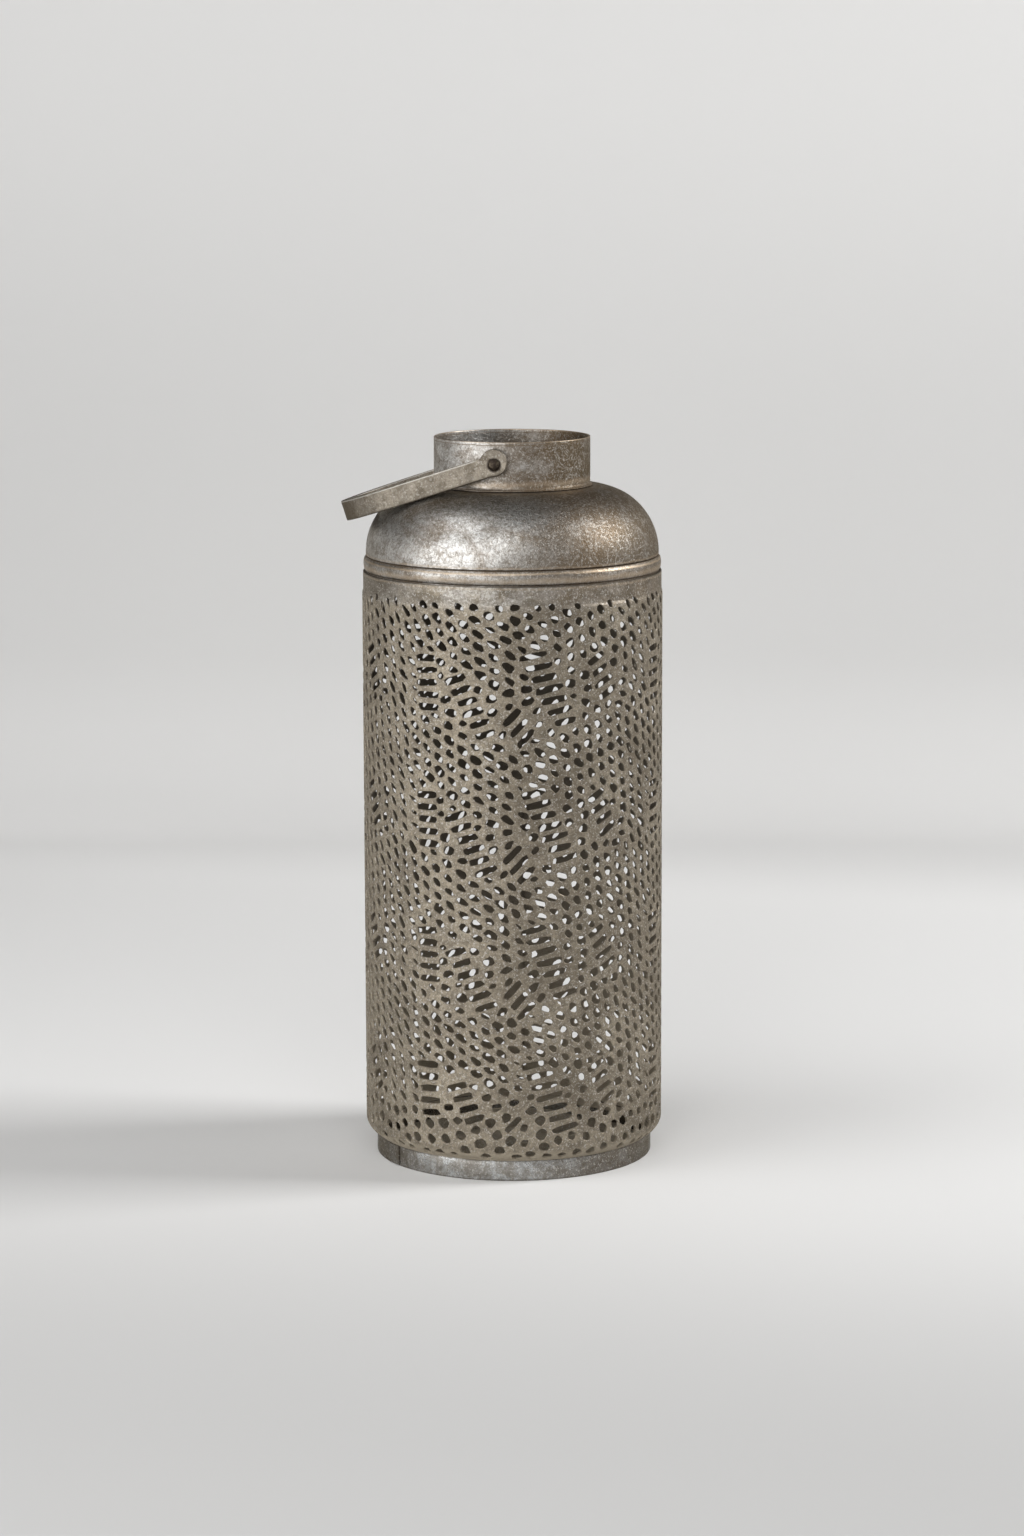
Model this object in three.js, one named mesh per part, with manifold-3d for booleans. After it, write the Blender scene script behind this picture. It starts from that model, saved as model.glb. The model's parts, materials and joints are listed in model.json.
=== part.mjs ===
// A pierced metal candle lantern: a rolled, pierced wall on a foot ring, a spun shoulder,
// an open neck and a bail handle that swings on two rivets.
// Millimetres, +Z up. The origin is under the middle of the base plate, and -Y is the front.
import * as THREE from 'three';
import { mergeGeometries, mergeVertices } from 'three/addons/utils/BufferGeometryUtils.js';
import Module from 'manifold-3d';

const wasm = await Module();
wasm.setup();

// Sheet metal and fits
const sheet = 1.0;
const clearance = 0.3;

// Body: the pierced wall, from the table to its top edge
const bodyRadius = 76;
const bodyHeight = 300.2;
const marginHeight = 9.6;
const marginInset = 0.5;
const marginStep = 1.0;
const bottomCurve = 7.5;
const seamGap = 0.6;

// Foot ring and the candle's ring on the base plate
const footInset = 5.5;
const footHeight = 10.6;
const footEdge = 0.4;
const candleRadius = 36;
const candleRingHeight = 10;
const seatRise = 0.5;
const seamStripWidth = 10;

// Joint band between the wall and the shoulder
const beadInset = 0.8;
const beadHeight = 7.2;
const beadEdge = 0.5;
const flangeHeight = 6;

// Shoulder
const shoulderInset = 2;
const shoulderSkirt = 1.5;
const shoulderRise = 33.5;
const neckLedge = 1.1;
const lipHeight = 7;
const lipFold = 1.0;

// Neck collar
const neckRadius = 39.4;
const neckHeight = 24.6;
const flareRadius = 1.2;
const hemHeight = 3;

// Handle and its rivets
const pivotRise = 13.7;
const strapWidth = 10.3;
const strapThickness = 2.5;
const eyeRadius = 6.8;
const eyeRise = 1.1;
const bailReach = 90.4;
const bailRestGap = 0.3;
const shankRadius = 2;
const headRadius = 2.95;
const headHeight = 2;
const tailRadius = 3.2;
const tailHeight = 1.2;
const spacerRadius = 5;
const spacerThickness = 2;
const roveRadius = 4.5;
const roveThickness = 1;

// Piercing: columns of slanted slots, one column to every second facet of the wall, with each
// second column half a step lower and steeper
const patternTurn = THREE.MathUtils.degToRad(11.6);
const rowCount = 18;
const slotHeight = 9.2;
const slotBridge = 0.8;
const slotEdgeDistance = 3;
const slotSlopes = [8, 20].map(THREE.MathUtils.degToRad);

// Facets round the body, round the small pieces, and along curves
const bodyFacets = 44;
const smallFacets = 16;
const arcFacets = 5;
const bendFacets = 18;

// Places worked out from the sizes above
const footRadius = bodyRadius - footInset;
const plateRadius = footRadius - sheet - clearance;
const curveCentre = bodyRadius - bottomCurve;
const footSlope = Math.acos((footRadius - sheet - curveCentre) / bottomCurve);
const curveHeight = footHeight + clearance + bottomCurve * Math.sin(footSlope);
const marginRadius = bodyRadius - marginInset;
const marginFoot = bodyHeight - marginHeight;
const facetTurn = (2 * Math.PI) / bodyFacets;
const slotLength = 2 * bodyRadius * Math.sin(facetTurn / 2) - 2 * slotBridge;
const beadFoot = bodyHeight + clearance;
const beadTop = beadFoot + beadHeight;
const shoulderRadius = bodyRadius - shoulderInset;
const shoulderFoot = beadTop + clearance;
const ledgeRadius = neckRadius + neckLedge;
const shoulderSpread = shoulderRadius - ledgeRadius;
const domeFoot = shoulderFoot + shoulderSkirt;
const domeTop = domeFoot + shoulderRise;
const neckBore = neckRadius - sheet;
const lipRadius = neckBore - clearance;
const collarFoot = domeTop + clearance;
const collarTop = collarFoot + neckHeight;
const pivotHeight = collarFoot + pivotRise;
const holeRadius = shankRadius + clearance;
const spacerSeat = neckRadius + clearance;
const strapSeat = spacerSeat + spacerThickness + clearance;
const bendRadius = strapSeat + strapThickness;
const headSeat = bendRadius + clearance;
const roveSeat = Math.sqrt(neckBore ** 2 - roveRadius ** 2) - clearance;
const tailSeat = roveSeat - roveThickness - clearance;

// Points of an arc in a profile, from one angle to another in degrees, about a centre
function arc(centreRadius, centreHeight, spread, rise, from, to) {
  const points = [];
  for (let i = 0; i <= arcFacets; i += 1) {
    const angle = THREE.MathUtils.degToRad(from + ((to - from) * i) / arcFacets);
    points.push([centreRadius + spread * Math.cos(angle), centreHeight + rise * Math.sin(angle)]);
  }
  return points;
}

// Leaves only merged positions, with the faces pointing outwards
function tidy(geometry) {
  geometry.deleteAttribute('normal');
  geometry.deleteAttribute('uv');
  const merged = mergeVertices(geometry, 1e-5);
  const place = merged.getAttribute('position');
  const index = merged.getIndex().array;
  const faces = [];
  const corners = [new THREE.Vector3(), new THREE.Vector3(), new THREE.Vector3()];
  let volume = 0;
  for (let i = 0; i < index.length; i += 3) {
    const [a, b, c] = index.slice(i, i + 3);
    if (a !== b && b !== c && c !== a) {
      faces.push(a, b, c);
      corners.forEach((corner, k) => corner.fromBufferAttribute(place, index[i + k]));
      volume += corners[0].dot(corners[1].cross(corners[2]));
    }
  }
  merged.setIndex(volume < 0 ? faces.reverse() : faces);
  return merged;
}

// Spins a profile of [radius, height] points about +Z; a ring's profile closes on itself
function spin(profile, facets) {
  const outline = profile.map(([radius, height]) => new THREE.Vector2(radius, height));
  if (outline[0].x > 0) {
    outline.push(outline[0].clone());
  }
  return tidy(new THREE.LatheGeometry(outline, facets).rotateX(Math.PI / 2));
}

function toSolid(geometry) {
  const vertProperties = new Float32Array(geometry.getAttribute('position').array);
  const triVerts = new Uint32Array(geometry.getIndex().array);
  return new wasm.Manifold(new wasm.Mesh({ numProp: 3, vertProperties, triVerts }));
}

function toGeometry(solid) {
  const mesh = solid.getMesh();
  const geometry = new THREE.BufferGeometry();
  geometry.setAttribute('position', new THREE.BufferAttribute(mesh.vertProperties, 3));
  geometry.setIndex(new THREE.BufferAttribute(mesh.triVerts, 1));
  return geometry;
}

function cut(geometry, tools) {
  return toGeometry(tools.reduce((rest, tool) => rest.subtract(toSolid(tool)), toSolid(geometry)));
}

function join(geometries) {
  return toGeometry(geometries.map(toSolid).reduce((whole, next) => whole.add(next)));
}

// A washer of which the hole and the axis lie along +Y, from one distance to another
function washer(innerRadius, outerRadius, from, to) {
  const profile = [[innerRadius, from], [outerRadius, from], [outerRadius, to], [innerRadius, to]];
  return spin(profile, smallFacets).rotateX(-Math.PI / 2);
}

// A disc with a raised seat in its middle, which the candle's ring fits round
function basePlate() {
  const seatRadius = candleRadius - clearance;
  const seatTop = sheet + seatRise;
  return spin([
    [0, 0],
    [plateRadius, 0],
    [plateRadius, sheet],
    [seatRadius, sheet],
    [seatRadius, seatTop],
    [0, seatTop],
  ], bodyFacets);
}

function footRing() {
  const inner = footRadius - sheet;
  return spin([
    [inner, 0],
    [footRadius - footEdge, 0],
    [footRadius, footEdge],
    [footRadius, footHeight - footEdge],
    [footRadius - footEdge, footHeight],
    [inner, footHeight],
  ], bodyFacets);
}

function candleRing() {
  const foot = sheet + clearance;
  const top = foot + candleRingHeight;
  const outer = candleRadius + sheet;
  return spin([[candleRadius, foot], [outer, foot], [outer, top], [candleRadius, top]], bodyFacets);
}

// One slot standing across the wall at the front, with upright ends and slanted long edges
function slot(slope) {
  const side = slotLength / 2;
  const half = slotHeight / 2;
  const rise = side * Math.tan(slope);
  const outline = new THREE.Shape([
    new THREE.Vector2(-side, -half - rise),
    new THREE.Vector2(side, -half + rise),
    new THREE.Vector2(side, half + rise),
    new THREE.Vector2(-side, half - rise),
  ]);
  const depth = 6 * sheet;
  const tool = new THREE.ExtrudeGeometry(outline, { depth, bevelEnabled: false });
  return tool.translate(0, 0, -depth / 2).rotateX(Math.PI / 2).translate(0, -bodyRadius, 0);
}

// All slots, in the straight part of the wall
function slots() {
  const steepest = Math.max(...slotSlopes);
  const reach = slotEdgeDistance + slotHeight / 2 + (slotLength / 2) * Math.tan(steepest);
  const low = curveHeight + reach;
  const high = marginFoot - marginStep - reach;
  const step = (high - low) / (rowCount - 0.5);
  const tools = [];
  for (let column = 0; column < bodyFacets / 2; column += 1) {
    const lower = column % 2;
    for (let row = 0; row < rowCount; row += 1) {
      const tool = slot(slotSlopes[lower]);
      tool.translate(0, 0, high - (row + lower / 2) * step);
      tools.push(tidy(tool.rotateZ((2 * column + 0.5) * facetTurn)));
    }
  }
  return mergeGeometries(tools);
}

function piercedWall() {
  const skirtSlope = THREE.MathUtils.radToDeg(Math.acos((plateRadius - curveCentre) / bottomCurve));
  const inside = plateRadius - sheet - curveCentre;
  const innerCurve = bottomCurve - sheet;
  const innerSlope = THREE.MathUtils.radToDeg(Math.acos(inside / innerCurve));
  const skirtFoot = sheet + clearance;
  const wall = spin([
    [plateRadius - sheet, skirtFoot],
    [plateRadius, skirtFoot],
    ...arc(curveCentre, curveHeight, bottomCurve, bottomCurve, -skirtSlope, 0),
    [bodyRadius, marginFoot - marginStep],
    [marginRadius, marginFoot],
    [marginRadius, bodyHeight],
    [marginRadius - sheet, bodyHeight],
    [marginRadius - sheet, marginFoot],
    [bodyRadius - sheet, marginFoot - marginStep],
    ...arc(curveCentre, curveHeight, innerCurve, innerCurve, 0, -innerSlope),
  ], bodyFacets);
  const seam = new THREE.BoxGeometry(seamGap, bodyRadius, 3 * bodyHeight);
  seam.translate(0, bodyRadius, 0).rotateZ(patternTurn);
  return cut(wall, [slots(), tidy(seam)]);
}

function seamStrip() {
  const outer = bodyRadius - sheet - clearance;
  const inner = outer - sheet;
  const half = seamStripWidth / 2 / outer;
  const middle = Math.PI / 2 + patternTurn;
  const outline = new THREE.Shape();
  outline.absarc(0, 0, outer, middle - half, middle + half, false);
  outline.absarc(0, 0, inner, middle + half, middle - half, true);
  const foot = curveHeight + clearance;
  const top = bodyHeight - marginHeight - marginStep - clearance;
  const depth = top - foot;
  const strip = new THREE.ExtrudeGeometry(outline, { depth, bevelEnabled: false, curveSegments: 2 });
  return tidy(strip.translate(0, 0, foot));
}

// Z-shaped ring: a flange inside the wall, the bead outside, and a flange inside the shoulder
function jointBand() {
  const wallFlange = marginRadius - sheet - clearance;
  const shoulderFlange = shoulderRadius - sheet - clearance;
  const bead = bodyRadius - beadInset;
  return spin([
    [wallFlange - sheet, beadFoot - flangeHeight],
    [wallFlange, beadFoot - flangeHeight],
    [wallFlange, beadFoot],
    [bead - beadEdge, beadFoot],
    [bead, beadFoot + beadEdge],
    [bead, beadTop - beadEdge],
    [bead - beadEdge, beadTop],
    [shoulderFlange, beadTop],
    [shoulderFlange, domeFoot],
    [shoulderFlange - sheet, domeFoot],
    [shoulderFlange - sheet, beadTop - sheet],
    [wallFlange - sheet, beadTop - sheet],
  ], bodyFacets);
}

function shoulderDome() {
  return spin([
    [shoulderRadius - sheet, shoulderFoot],
    [shoulderRadius, shoulderFoot],
    ...arc(ledgeRadius, domeFoot, shoulderSpread, shoulderRise, 0, 90),
    [lipRadius + lipFold, domeTop],
    [lipRadius, domeTop + lipFold],
    [lipRadius, domeTop + lipHeight],
    [lipRadius - sheet, domeTop + lipHeight],
    [lipRadius - sheet, domeTop - sheet + lipFold],
    [lipRadius - sheet + lipFold, domeTop - sheet],
    ...arc(ledgeRadius, domeFoot, shoulderSpread - sheet, shoulderRise - sheet, 90, 0),
  ], bodyFacets);
}

function neckCollar() {
  const flareTop = collarFoot + sheet + flareRadius;
  const flareCentre = neckRadius + flareRadius;
  const hem = neckBore - sheet;
  const rimEdge = sheet / 2;
  const collar = spin([
    ...arc(flareCentre, flareTop, flareRadius + sheet, flareRadius + sheet, 180, 270),
    ...arc(flareCentre, flareTop, flareRadius, flareRadius, 270, 180),
    [neckRadius, collarTop - rimEdge],
    [neckRadius - rimEdge, collarTop],
    [hem + rimEdge, collarTop],
    [hem, collarTop - rimEdge],
    [hem, collarTop - hemHeight],
    [neckBore, collarTop - hemHeight],
  ], bodyFacets);
  const length = 3 * neckRadius;
  const drill = new THREE.CylinderGeometry(holeRadius, holeRadius, length, smallFacets);
  return cut(collar, [tidy(drill.translate(0, 0, pivotHeight))]);
}

// A rivet along +Y: the peened tail inside the neck, the shank, and the round head outside
function rivet() {
  const profile = [
    [0, tailSeat - tailHeight],
    [tailRadius * 0.7, tailSeat - tailHeight],
    [tailRadius, tailSeat - tailHeight / 2],
    [tailRadius, tailSeat],
    [shankRadius, tailSeat],
    [shankRadius, headSeat],
    ...arc(0, headSeat, headRadius, headHeight, 0, 90),
  ];
  return spin(profile, smallFacets).rotateX(-Math.PI / 2);
}

function spacer() {
  return washer(holeRadius, spacerRadius, spacerSeat, spacerSeat + spacerThickness);
}

function rove() {
  return washer(holeRadius, roveRadius, roveSeat - roveThickness, roveSeat);
}

// The handle flat in its own plane: pivots at x = 0, the bend towards -X
function bailFlat() {
  const bend = bendRadius - bailReach;
  const outline = new THREE.Shape();
  outline.moveTo(0, strapSeat);
  outline.lineTo(0, bendRadius);
  outline.absarc(bend, 0, bendRadius, Math.PI / 2, (3 * Math.PI) / 2, false);
  outline.lineTo(0, -bendRadius);
  outline.lineTo(0, -strapSeat);
  outline.absarc(bend, 0, strapSeat, (3 * Math.PI) / 2, Math.PI / 2, true);
  const options = { depth: strapWidth, bevelEnabled: false, curveSegments: bendFacets };
  const strap = new THREE.ExtrudeGeometry(outline, options).translate(0, 0, -strapWidth / 2);
  const eyes = [1, -1].map((side) => {
    const eye = new THREE.CylinderGeometry(eyeRadius, eyeRadius, strapThickness, 2 * smallFacets);
    return tidy(eye.translate(0, side * (strapSeat + strapThickness / 2), eyeRise));
  });
  const drill = new THREE.CylinderGeometry(holeRadius, holeRadius, 3 * bendRadius, smallFacets);
  return cut(join([tidy(strap), ...eyes]), [tidy(drill)]);
}

// Height of the shoulder's outside at a radius
function shoulderHeight(radius) {
  const out = Math.min(Math.max((radius - ledgeRadius) / shoulderSpread, 0), 1);
  return domeFoot + shoulderRise * Math.sqrt(1 - out * out);
}

// Least height of the hanging strap's lower edge over the shoulder, at a droop below level
function gapOverShoulder(droop) {
  const bend = bendRadius - bailReach;
  const steps = 60;
  let least = Infinity;
  for (let i = 0; i <= steps; i += 1) {
    for (const side of [strapSeat, bendRadius]) {
      const along = (i / steps) * (bailReach - eyeRadius) + eyeRadius;
      const past = Math.min(Math.max(along + bend, 0), side);
      const x = past > 0 ? bend - past : -along;
      const y = Math.sqrt(side * side - past * past);
      const low = -strapWidth / 2;
      const out = x * Math.cos(droop) - low * Math.sin(droop);
      const height = pivotHeight + x * Math.sin(droop) + low * Math.cos(droop);
      const radius = Math.hypot(out, y);
      if (radius < shoulderRadius) {
        least = Math.min(least, height - shoulderHeight(radius));
      }
    }
  }
  return least;
}

// The handle swings down until its strap lies just over the shoulder
function restDroop() {
  let level = 0;
  let steep = Math.PI / 3;
  for (let i = 0; i < 40; i += 1) {
    const middle = (level + steep) / 2;
    if (gapOverShoulder(middle) > bailRestGap) {
      level = middle;
    } else {
      steep = middle;
    }
  }
  return level;
}

function finish(color, roughness, metalness) {
  return new THREE.MeshStandardMaterial({ color, roughness, metalness });
}

const pewter = { color: 0x8d8981, roughness: 0.5, metalness: 0.85 };
const piercedSheet = { color: 0x82796b, roughness: 0.65, metalness: 0.7 };
const zinc = { color: 0x84898b, roughness: 0.5, metalness: 0.8 };
const darkIron = { color: 0x3a332c, roughness: 0.6, metalness: 0.7 };
const strapIron = { color: 0x8a857a, roughness: 0.55, metalness: 0.75 };

function piece(name, geometry, look) {
  const mesh = new THREE.Mesh(geometry, finish(look.color, look.roughness, look.metalness));
  mesh.name = name;
  return mesh;
}

const lantern = new THREE.Group();
lantern.add(
  piece('base_plate', basePlate(), zinc),
  piece('foot_ring', footRing(), zinc),
  piece('candle_ring', candleRing(), zinc),
  piece('pierced_wall', piercedWall(), piercedSheet),
  piece('seam_strip', seamStrip(), piercedSheet),
  piece('joint_band', jointBand(), pewter),
  piece('shoulder_dome', shoulderDome(), pewter),
  piece('neck_collar', neckCollar(), pewter),
);

for (const [side, turn] of [['front', Math.PI], ['back', 0]]) {
  const fixings = new THREE.Group();
  fixings.position.z = pivotHeight;
  fixings.rotation.z = turn;
  fixings.add(
    piece(`rivet_${side}`, rivet(), darkIron),
    piece(`spacer_${side}`, spacer(), pewter),
    piece(`rove_${side}`, rove(), darkIron),
  );
  lantern.add(fixings);
}

const bail = new THREE.Group();
bail.position.z = pivotHeight;
bail.rotation.y = -restDroop();
bail.add(piece('bail_handle', bailFlat(), strapIron));
lantern.add(bail);

export default lantern;
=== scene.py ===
import json
import math
import random
from collections import namedtuple

import bmesh
import bpy
from bpy.props import FloatProperty, FloatVectorProperty, IntProperty, PointerProperty
from mathutils import Matrix, Vector, kdtree, noise


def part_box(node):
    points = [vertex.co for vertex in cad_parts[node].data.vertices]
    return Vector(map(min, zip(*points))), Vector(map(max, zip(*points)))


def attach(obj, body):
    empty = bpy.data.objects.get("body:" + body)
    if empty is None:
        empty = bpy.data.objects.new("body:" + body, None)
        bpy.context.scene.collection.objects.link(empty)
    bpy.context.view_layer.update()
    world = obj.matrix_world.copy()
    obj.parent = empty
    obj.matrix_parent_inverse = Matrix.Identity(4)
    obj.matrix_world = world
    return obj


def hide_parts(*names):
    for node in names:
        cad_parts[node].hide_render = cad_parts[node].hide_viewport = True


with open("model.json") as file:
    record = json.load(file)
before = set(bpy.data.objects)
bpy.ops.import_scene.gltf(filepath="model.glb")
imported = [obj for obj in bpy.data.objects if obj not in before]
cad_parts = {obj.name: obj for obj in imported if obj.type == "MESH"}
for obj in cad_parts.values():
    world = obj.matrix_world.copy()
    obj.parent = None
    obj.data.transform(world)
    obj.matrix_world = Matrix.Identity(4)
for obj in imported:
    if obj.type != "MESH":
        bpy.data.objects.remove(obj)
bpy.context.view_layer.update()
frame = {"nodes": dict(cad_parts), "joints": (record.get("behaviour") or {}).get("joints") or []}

bl_info = {
    "name": "Pierced lantern",
    "version": (1, 0, 0),
    "blender": (4, 5, 0),
    "location": "3D View > Sidebar > Lantern",
    "description": "Makes the pieces, finishes and studio of a pierced candle lantern",
    "category": "Object",
}

MM = 0.001

# Places of the CAD pieces, in metres
WALL_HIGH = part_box("pierced_wall")[1]
FOOT_LOW, FOOT_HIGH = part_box("foot_ring")
PLATE_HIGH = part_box("base_plate")[1]
CANDLE_LOW, CANDLE_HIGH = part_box("candle_ring")
BAND_LOW, BAND_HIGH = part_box("joint_band")
DOME_LOW, DOME_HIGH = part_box("shoulder_dome")
NECK_LOW, NECK_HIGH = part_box("neck_collar")
RIVET_LOW, RIVET_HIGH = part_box("rivet_back")
SPACER_LOW, SPACER_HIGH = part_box("spacer_back")
ROVE_LOW, ROVE_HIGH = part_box("rove_back")
BAIL_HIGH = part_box("bail_handle")[1]
PIVOT = Vector(frame["joints"][0]["pos_m"])

# Gap between neighbouring pieces, and radius of the holes for the rivets
CLEARANCE = 0.3 * MM
HOLE_RADIUS = 2.3 * MM

# Edges that fold more than this, in degrees, stay sharp
SHARP_ANGLE = 40

# Steps round a rivet or washer
SMALL_TURNS = 40

# One ladder of long slots: across and drop place its middle from the front line and the plain
# margin, shift and spacing lead from slot to slot. Millimetres and degrees on the unrolled sheet.
Ladder = namedtuple("Ladder", "across drop tilt length count shift spacing")
EVEN_LADDERS = (
    Ladder(-45, 39, 3, 12, 5, 0.4, 6.1),
    Ladder(-21.5, 50, 20, 11.5, 6, 3.1, 5.4),
    Ladder(3, 60, 46, 11.5, 3, 3.4, 5.2),
)
ODD_LADDERS = (
    Ladder(-50, 41, 12, 13.5, 7, 2.7, 5.5),
    Ladder(-21, 36, 30, 11, 4, 2.4, 5.8),
)

# How the small holes lean and how far they are drawn out between the ladders, over two columns.
# A lean is felt over a range, in millimetres.
LEAN_RANGE = 11.0
Lean = namedtuple("Lean", "across drop angle stretch")
LEANS = (
    Lean(-62, 10, -54, 2.6),
    Lean(-59, 34, -56, 2.6),
    Lean(-45, 37, 2, 1.2),
    Lean(-60, 58, -52, 2.1),
    Lean(-40, 8, -44, 1.8),
    Lean(-21.5, 52, 19, 1.3),
    Lean(-20, 14, -32, 1.9),
    Lean(-4, 26, -34, 1.9),
    Lean(-36, 64, -30, 1.7),
    Lean(2, 8, -34, 1.6),
    Lean(2, 60, 46, 1.6),
    Lean(18, 40, 8, 1.4),
    Lean(20, 12, -28, 1.5),
    Lean(32, 22, -55, 1.4),
    Lean(47, 36, 28, 1.2),
    Lean(34, 62, -55, 1.4),
    Lean(60, 20, -50, 1.4),
)


def length_property(name, description, millimetres):
    """A size, kept in metres"""
    return FloatProperty(name=name, description=description, default=millimetres * MM, unit="LENGTH")


def colour_property(name, description, *parts):
    """A colour from its linear red, green and blue"""
    return FloatVectorProperty(name=name, description=description, default=parts, subtype="COLOR")


class LanternSizes(bpy.types.PropertyGroup):
    """Sizes of the lantern's pieces that the frame does not give"""

    sheet: length_property("Sheet", "Thickness of the sheet metal", 1.0)
    bottom_curve: length_property("Bottom curve", "Radius turned at the foot of the wall", 7.5)
    margin_height: length_property("Margin", "Plain strip at the top of the wall", 9.6)
    margin_inset: length_property("Margin inset", "How far the plain strip is drawn in", 0.5)
    flare_radius: length_property("Flare", "Radius of the neck's flared foot", 1.2)
    dent_depth: length_property("Dents", "Depth of the shallow dents in spun pieces", 0.12)
    strap_width: length_property("Strap width", "Width of the handle's strap", 10.3)
    strap_thickness: length_property("Strap thickness", "Thickness of the handle's strap", 2.5)
    eye_radius: length_property("Eye", "Radius of the eyes at the handle's ends", 6.8)
    eye_rise: length_property("Eye rise", "How far an eye's middle stands over its hole", 1.1)
    turns: IntProperty(name="Turns", description="Steps round a spun piece", default=160, min=32)


class LanternPiercing(bpy.types.PropertyGroup):
    """Layout of the holes in the wall, in millimetres on the unrolled sheet"""

    front_turn: FloatProperty(
        name="Front", description="Turn of the pattern's middle from the front rivet",
        default=math.radians(11.6), subtype="ANGLE",
    )
    columns: IntProperty(name="Columns", description="Ladder columns round the wall", default=7)
    row_spacing: FloatProperty(
        name="Row spacing", description="From one row of ladders to the next", default=68.5
    )
    slot_height: FloatProperty(name="Slot height", description="Height of a long slot", default=3.4)
    dot_pitch: FloatProperty(name="Dot pitch", description="From one small hole to the next", default=7.1)
    dot_size: FloatProperty(name="Dot size", description="Width of a small round hole", default=4.7)
    bridge: FloatProperty(name="Bridge", description="Least metal between two holes", default=0.7)
    flow: FloatProperty(
        name="Flow", description="Slant of the rows of small holes, degrees", default=-33.0
    )
    seed: IntProperty(name="Seed", description="Start of the random draws", default=7)


class LanternColours(bpy.types.PropertyGroup):
    """Colours of the finishes, as linear values"""

    silver: colour_property("Silver", "Bare pewter", 0.61, 0.604, 0.59)
    tarnish: colour_property("Tarnish", "Dulled pewter", 0.21, 0.186, 0.155)
    umber_and_shade: colour_property("Umber", "Warm brown stains on the pewter", 0.150, 0.108, 0.068)
    patina_and_shade: colour_property("Patina", "Brown in grooves and patches", 0.100, 0.080, 0.056)
    sheet: colour_property("Pierced sheet", "Warm grey of the wall", 0.375, 0.326, 0.252)
    sheet_dark: colour_property("Sheet shade", "Darker grains of the wall", 0.15, 0.126, 0.096)
    zinc: colour_property("Zinc", "Blue-grey of the foot", 0.54, 0.555, 0.56)
    strap: colour_property("Strap", "Worn grey of the handle", 0.285, 0.252, 0.205)
    gleam_and_highlight: colour_property("Gleam", "Bright grains worn through the tarnish", 0.72, 0.70, 0.66)
    copper_and_highlight: colour_property("Copper", "Worn edges and solder", 0.50, 0.395, 0.285)
    soot_and_shade: colour_property("Soot", "Smoked inside of the wall", 0.105, 0.090, 0.071)
    iron: colour_property("Iron", "Dark oxide of the rivets", 0.035, 0.026, 0.021)
    backdrop: colour_property("Backdrop", "Pale wall behind", 0.682, 0.678, 0.67)
    # The paler floor colour stands for a painted pool of light round the lantern
    floor: colour_property("Floor", "Paler floor under the lantern", 0.845, 0.841, 0.832)


# Helpers for nodes

def new_node(tree, kind, links=(), **values):
    """A node with its inputs linked from (input, socket) pairs and its properties set"""
    made = tree.nodes.new(kind)
    for name, value in values.items():
        setattr(made, name, value)
    for entry, source in links:
        if hasattr(source, "is_output"):
            tree.links.new(source, made.inputs[entry])
        else:
            made.inputs[entry].default_value = source
    return made


def calculated(tree, operation, *values):
    """Result of a Math node"""
    return new_node(tree, "ShaderNodeMath", enumerate(values), operation=operation).outputs[0]


def ramp(tree, value, start, end, low=0.0, high=1.0, kind="SMOOTHSTEP"):
    """Goes from low to high while a value goes from start to end"""
    links = [("Value", value), ("From Min", start), ("From Max", end), ("To Min", low), ("To Max", high)]
    return new_node(tree, "ShaderNodeMapRange", links, interpolation_type=kind).outputs["Result"]


def shared_group(name, inputs, wire):
    """A node group with a mask, made the first time it is asked for. Its inputs are numbers, or
    vectors where the default is a triple, and wire leads from them to the mask."""
    if name not in bpy.data.node_groups:
        tree = bpy.data.node_groups.new(name, "ShaderNodeTree")
        for label, default in inputs:
            kind = "NodeSocketFloat" if isinstance(default, (int, float)) else "NodeSocketVector"
            tree.interface.new_socket(label, in_out="INPUT", socket_type=kind).default_value = default
        tree.interface.new_socket("Mask", in_out="OUTPUT", socket_type="NodeSocketFloat")
        given = tree.nodes.new("NodeGroupInput").outputs
        put = tree.nodes.new("NodeGroupOutput").inputs
        tree.links.new(wire(tree, given), put["Mask"])
    return bpy.data.node_groups[name]


def clouds_group():
    """Cloudy patches between two limits of a noise"""
    def wire(tree, given):
        links = [(label, given[label]) for label in ("Vector", "Scale", "Detail")]
        links += [("Roughness", 0.62), ("Distortion", 0.6)]
        cloud = new_node(tree, "ShaderNodeTexNoise", links)
        return ramp(tree, cloud.outputs["Fac"], given["Low"], given["High"])

    inputs = (("Vector", (0, 0, 0)), ("Scale", 30.0), ("Low", 0.45), ("High", 0.65), ("Detail", 7.0))
    return shared_group("Clouded patches", inputs, wire)


def swirl_group():
    """Thin lines where a strongly distorted noise crosses its middle value"""
    def wire(tree, given):
        links = [(label, given[label]) for label in ("Vector", "Scale")]
        links += [("Detail", 3.0), ("Distortion", 3.0)]
        curl = new_node(tree, "ShaderNodeTexNoise", links)
        distance = calculated(tree, "ABSOLUTE", calculated(tree, "SUBTRACT", curl.outputs["Fac"], 0.5))
        return ramp(tree, distance, 0.0, given["Width"], 1.0, 0.0)

    inputs = (("Vector", (0, 0, 0)), ("Scale", 60.0), ("Width", 0.02))
    return shared_group("Swirl marks", inputs, wire)


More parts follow.
